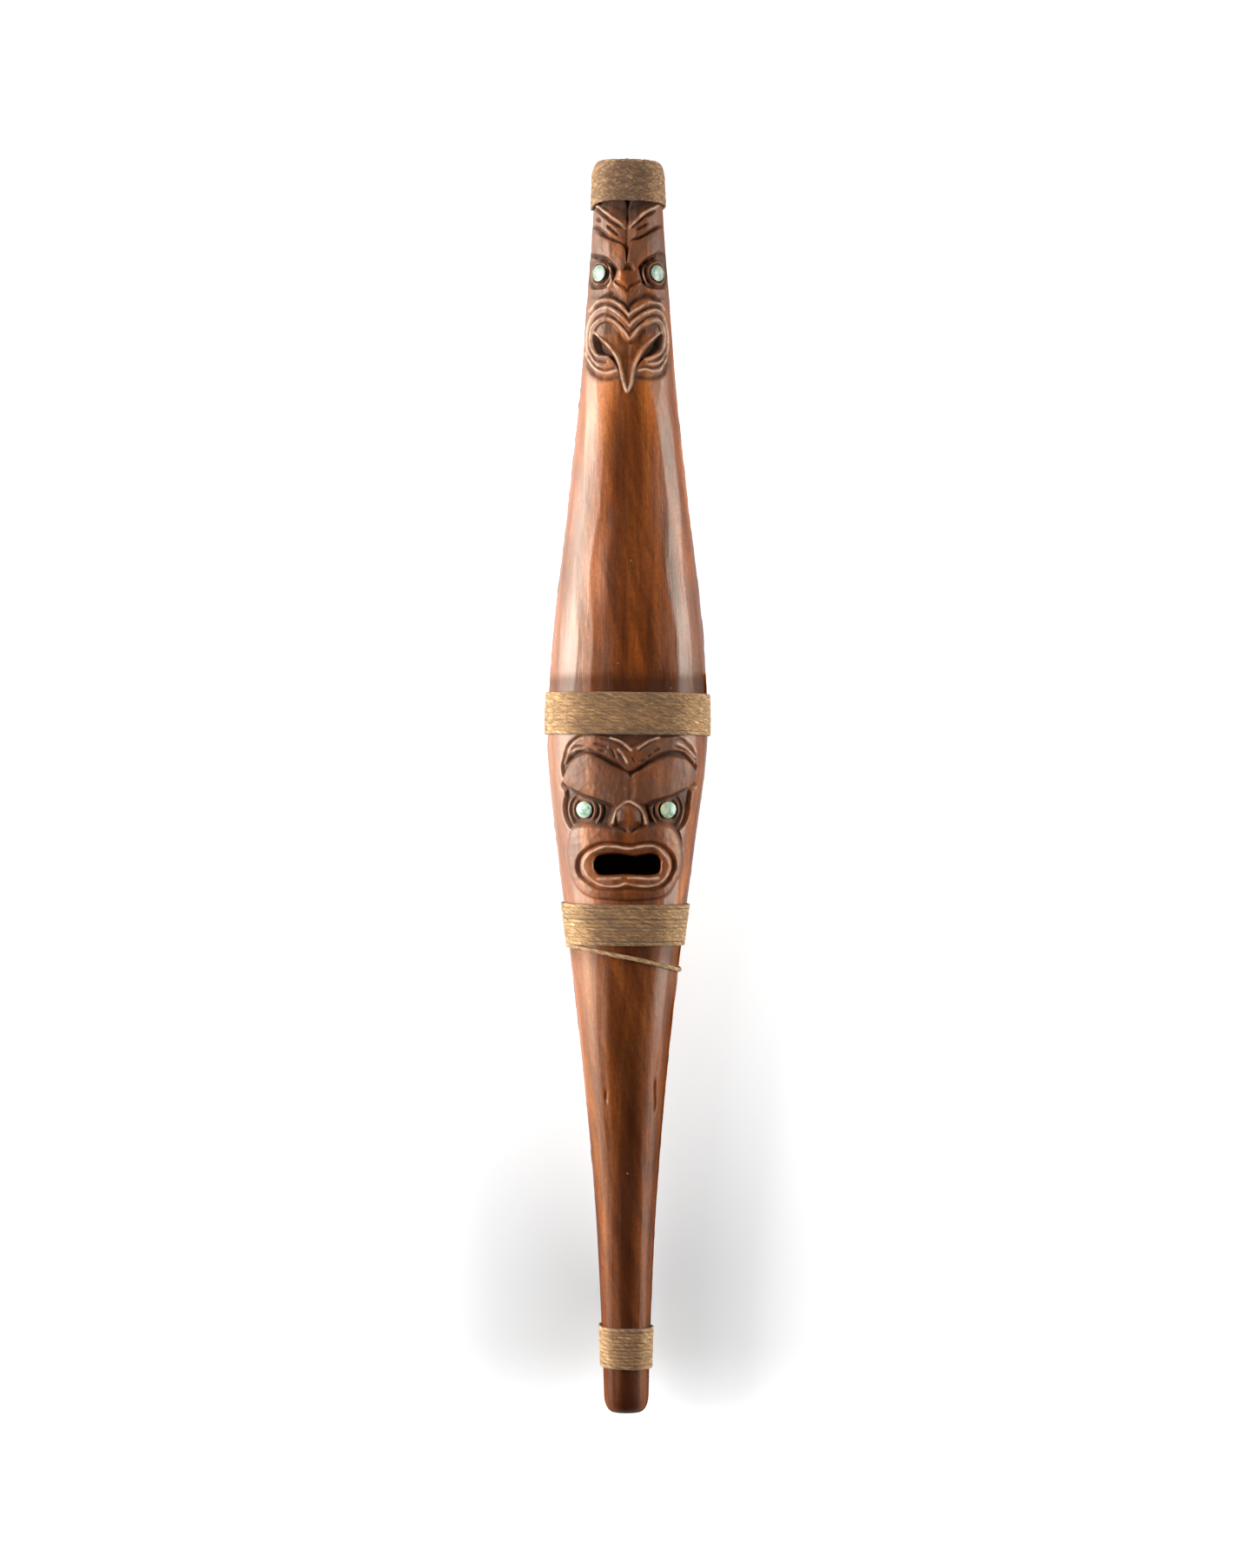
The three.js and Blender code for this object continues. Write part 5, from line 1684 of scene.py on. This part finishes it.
def shade_and_highlight_attributes(piece):
    """How much darker the wood is by its place, partly painted shade, and how much paler at its left
    side as a painted highlight.
    """
    x, y, z = (mesh_points(piece) - TO_ROW).T
    half, _, _, middle = section(y)
    across = (x - middle) / half + 0.12 * lattice_noise(y / 45, 0 * y + 3, 61)
    from_crown = np.abs(across)
    front = z > 0
    # Painted shade along the crown, where the wood would mirror the dark overhead, and darker at the
    # right edge
    stain_and_shade = STAIN_AND_SHADE_SPAN[1] * (1 - smoothstep(np.abs(across - 0.1), 0.12, 0.55)) * front
    stain_and_shade += 0.22 * smoothstep(across, 0.78, 0.95) * (z > -2)
    # Towards the foot, and at its end
    stain_and_shade += 0.35 * smoothstep(-y, 20, 120) + 0.2 * smoothstep(-y, 185, 215)
    # Beside the two middle whippings, and the blowing end
    stain_and_shade += 0.7 * np.exp(-((y - 36) / 4) ** 2) * (y > 30)
    stain_and_shade += 0.3 * np.exp(-((y + 60) / 5) ** 2) + 0.8 * smoothstep(y, 218, 224)
    # Darker under the head's tongue, and a painted shadow below the top whipping
    stain_and_shade += 0.3 * np.exp(-((y - 126) / 20) ** 2) * (1 - smoothstep(from_crown, 0.2, 0.6)) * front
    stain_and_shade += 0.5 * smoothstep(y, 206, 214) * (1 - smoothstep(from_crown, 0.5, 0.8)) * front
    # Painted highlight on the left of the front, fading towards the foot
    from_foot = 1 - smoothstep(-y, 60, 160)
    painted_highlight = PAINTED_HIGHLIGHT_MOST * smoothstep(-across, 0.4, 0.8) * from_foot * front
    add_attributes(piece.data, {"stain_and_shade": np.clip(stain_and_shade, 0, STAIN_AND_SHADE_LIMIT), "painted_highlight": painted_highlight})


def build():
    """Makes and dresses all the pieces."""
    wood = wood_material()
    fronts = [front_piece(name, *row) for name, row in FRONT_PIECES.items()]
    for half in (*fronts, back_half()):
        shade_and_highlight_attributes(half)
        dressed(half, wood)
    gum = gum_material()
    for name, side in (("seam_gum_left", -1), ("seam_gum_right", 1)):
        dressed(gum_strip(name, side), gum)
    pearl = shell_material()
    for seed, name in enumerate(sorted(EYES)):
        dressed(shell_eye(EYES[name], seed), pearl)
    plain = twine_material("plant_fibre_twine", False)
    matted = twine_material("matted_twine", True)
    for seed, (name, row) in enumerate(WHIPPINGS.items()):
        fibre = matted if row.get("pressed") == MATTED else plain
        dressed(twine(name, seed=20 * seed + 3, **row), fibre)


# Floor, light and camera

FLOOR_SIZE = 6
# Each lamp's name, place in metres, width, length and radiance
LAMPS = [
    ("lamp_left", (-1.17, 0.22, 0.38), 0.66, 1.0, 17.5),
    ("lamp_left_upper", (-0.95, 0.25, 0.76), 0.5, 0.9, 3.0),
    ("lamp_right", (1.13, 0.16, 0.38), 0.54, 1.1, 10.0),
]
AMBIENT = 0.1
# Reflections of the sky fall from white to this share, between two heights
OVERHEAD_SPAN = (0.1, 0.4)
OVERHEAD_LIGHT = 0.02
FLOOR_COLOUR = 0.64
FLOOR_WHITENER = 0.75
# Far from the lamps the floor needs more whitening to look the same
FAR = (0.5, 1.5)
FAR_WHITENER = 0.97
# Round the foot the floor's colour is painted darker as a shadow, and it is less whitened so that
# the real shadow shows there too
POOL_MIDDLE = (-0.004, -0.19, 0)
POOL_REACH = 0.27
POOL_FALL = 3.0
POOL_END = (-0.262, -0.205)
PAINTED_SHADOW_COLOUR = 0.34
POOL_WHITENER = 0.24


def painted_shadow_share(nodes, place, distance):
    """1 in the middle of the painted shadow round the foot, falling to 0 outside it."""
    split = nodes.node("ShaderNodeSeparateXYZ", {"Vector": place})
    near = nodes.maths("POWER", nodes.span(distance, 0, POOL_REACH, 1, 0), POOL_FALL)
    above = nodes.span(split.outputs["Y"], *POOL_END, interpolation_type="SMOOTHSTEP")
    return nodes.maths("MULTIPLY", near, above)


def floor_tones(nodes):
    """Sockets of the floor's colour and of its whitening, both lower round the foot: the colour as a
    painted shadow, the whitening so that the real shadow shows.
    """
    place = nodes.node("ShaderNodeTexCoord").outputs["Object"]
    away = nodes.node("ShaderNodeVectorMath", {0: place, 1: POOL_MIDDLE}, operation="DISTANCE")
    distance = away.outputs["Value"]
    share = painted_shadow_share(nodes, place, distance)
    whitener = nodes.span(distance, *FAR, FLOOR_WHITENER, FAR_WHITENER)
    return (nodes.span(share, 0, 1, FLOOR_COLOUR, PAINTED_SHADOW_COLOUR),
            nodes.span(share, 0, 1, whitener, POOL_WHITENER))


def seen_directly(nodes):
    """1 for camera, glossy and transmission rays, else 0."""
    rays = nodes.node("ShaderNodeLightPath").outputs
    reflected = nodes.maths("MAXIMUM", rays["Is Camera Ray"], rays["Is Glossy Ray"])
    return nodes.maths("MAXIMUM", reflected, rays["Is Transmission Ray"])


def floor():
    """A pale floor, whitened as it is seen so that it looks even however it is lit, with a shadow
    painted into its colour round the foot.
    """
    bpy.ops.mesh.primitive_plane_add(size=FLOOR_SIZE)
    plane = bpy.context.object
    plane.name = "floor"
    material = bpy.data.materials.new("pale_floor")
    material.use_nodes = True
    material.node_tree.nodes.clear()
    nodes = Nodes(material.node_tree)
    tone, level = floor_tones(nodes)
    strength = nodes.maths("MULTIPLY", seen_directly(nodes), level)
    paper = nodes.node("ShaderNodeBsdfDiffuse", {"Color": tone}).outputs["BSDF"]
    white = nodes.node("ShaderNodeEmission", {"Strength": strength}).outputs["Emission"]
    both = nodes.node("ShaderNodeAddShader", {0: paper, 1: white}).outputs["Shader"]
    nodes.node("ShaderNodeOutputMaterial", {"Surface": both})
    plane.data.materials.append(material)
    plane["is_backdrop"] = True


def world():
    """White to the camera and low down in reflections, dark overhead, with a soft light."""
    sky = bpy.data.worlds.new("studio")
    bpy.context.scene.world = sky
    sky.use_nodes = True
    nodes = Nodes(sky.node_tree)
    rays = nodes.node("ShaderNodeLightPath").outputs
    direction = nodes.node("ShaderNodeTexCoord").outputs["Generated"]
    height = nodes.node("ShaderNodeSeparateXYZ", {"Vector": direction}).outputs["Z"]
    strength = nodes.node("ShaderNodeMix", {
        "Factor": rays["Is Glossy Ray"],
        "A": nodes.span(rays["Is Camera Ray"], 0, 1, AMBIENT, 1),
        "B": nodes.span(height, *OVERHEAD_SPAN, 1, OVERHEAD_LIGHT),
    })
    background = sky.node_tree.nodes["Background"]
    nodes.put(background.inputs["Color"], (1, 1, 1, 1))
    nodes.put(background.inputs["Strength"], strength.outputs["Result"])


def lamps():
    """Long soft lamps beside the flute, turned towards it."""
    for name, place, width, length, radiance in LAMPS:
        data = bpy.data.lights.new(name, "AREA")
        data.shape = "RECTANGLE"
        data.size, data.size_y = width, length
        data.energy = radiance * math.pi * width * length
        lamp = bpy.data.objects.new(name, data)
        bpy.context.scene.collection.objects.link(lamp)
        lamp.location = place
        aim = math.atan2(-place[0], place[2])
        lamp.rotation_euler = (0, -aim, 0)


def camera():
    """Looks straight down, from where the photograph was taken."""
    data = bpy.data.cameras.new("camera")
    data.sensor_width = SENSOR_WIDTH
    data.sensor_fit = "AUTO"
    frame_height = IMAGE_HEIGHT_PX * MM_PER_PX
    data.lens = SENSOR_WIDTH * CAMERA_DISTANCE / frame_height
    view = bpy.data.objects.new("camera", data)
    bpy.context.scene.collection.objects.link(view)
    middle_y = (FLUTE_MIDDLE_PX[1] - IMAGE_HEIGHT_PX / 2) * MM_PER_PX
    view.location = (0, middle_y * MM, (CAMERA_DISTANCE + PARTING_HEIGHT) * MM)
    bpy.context.scene.camera = view


camera()
build()
floor()
world()
lamps()
bpy.context.scene.view_settings.view_transform = "Standard"

sizes = {"cad": CAD_BOX, "visual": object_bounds()}
{key: [list(corner) for corner in box] for key, box in sizes.items()}
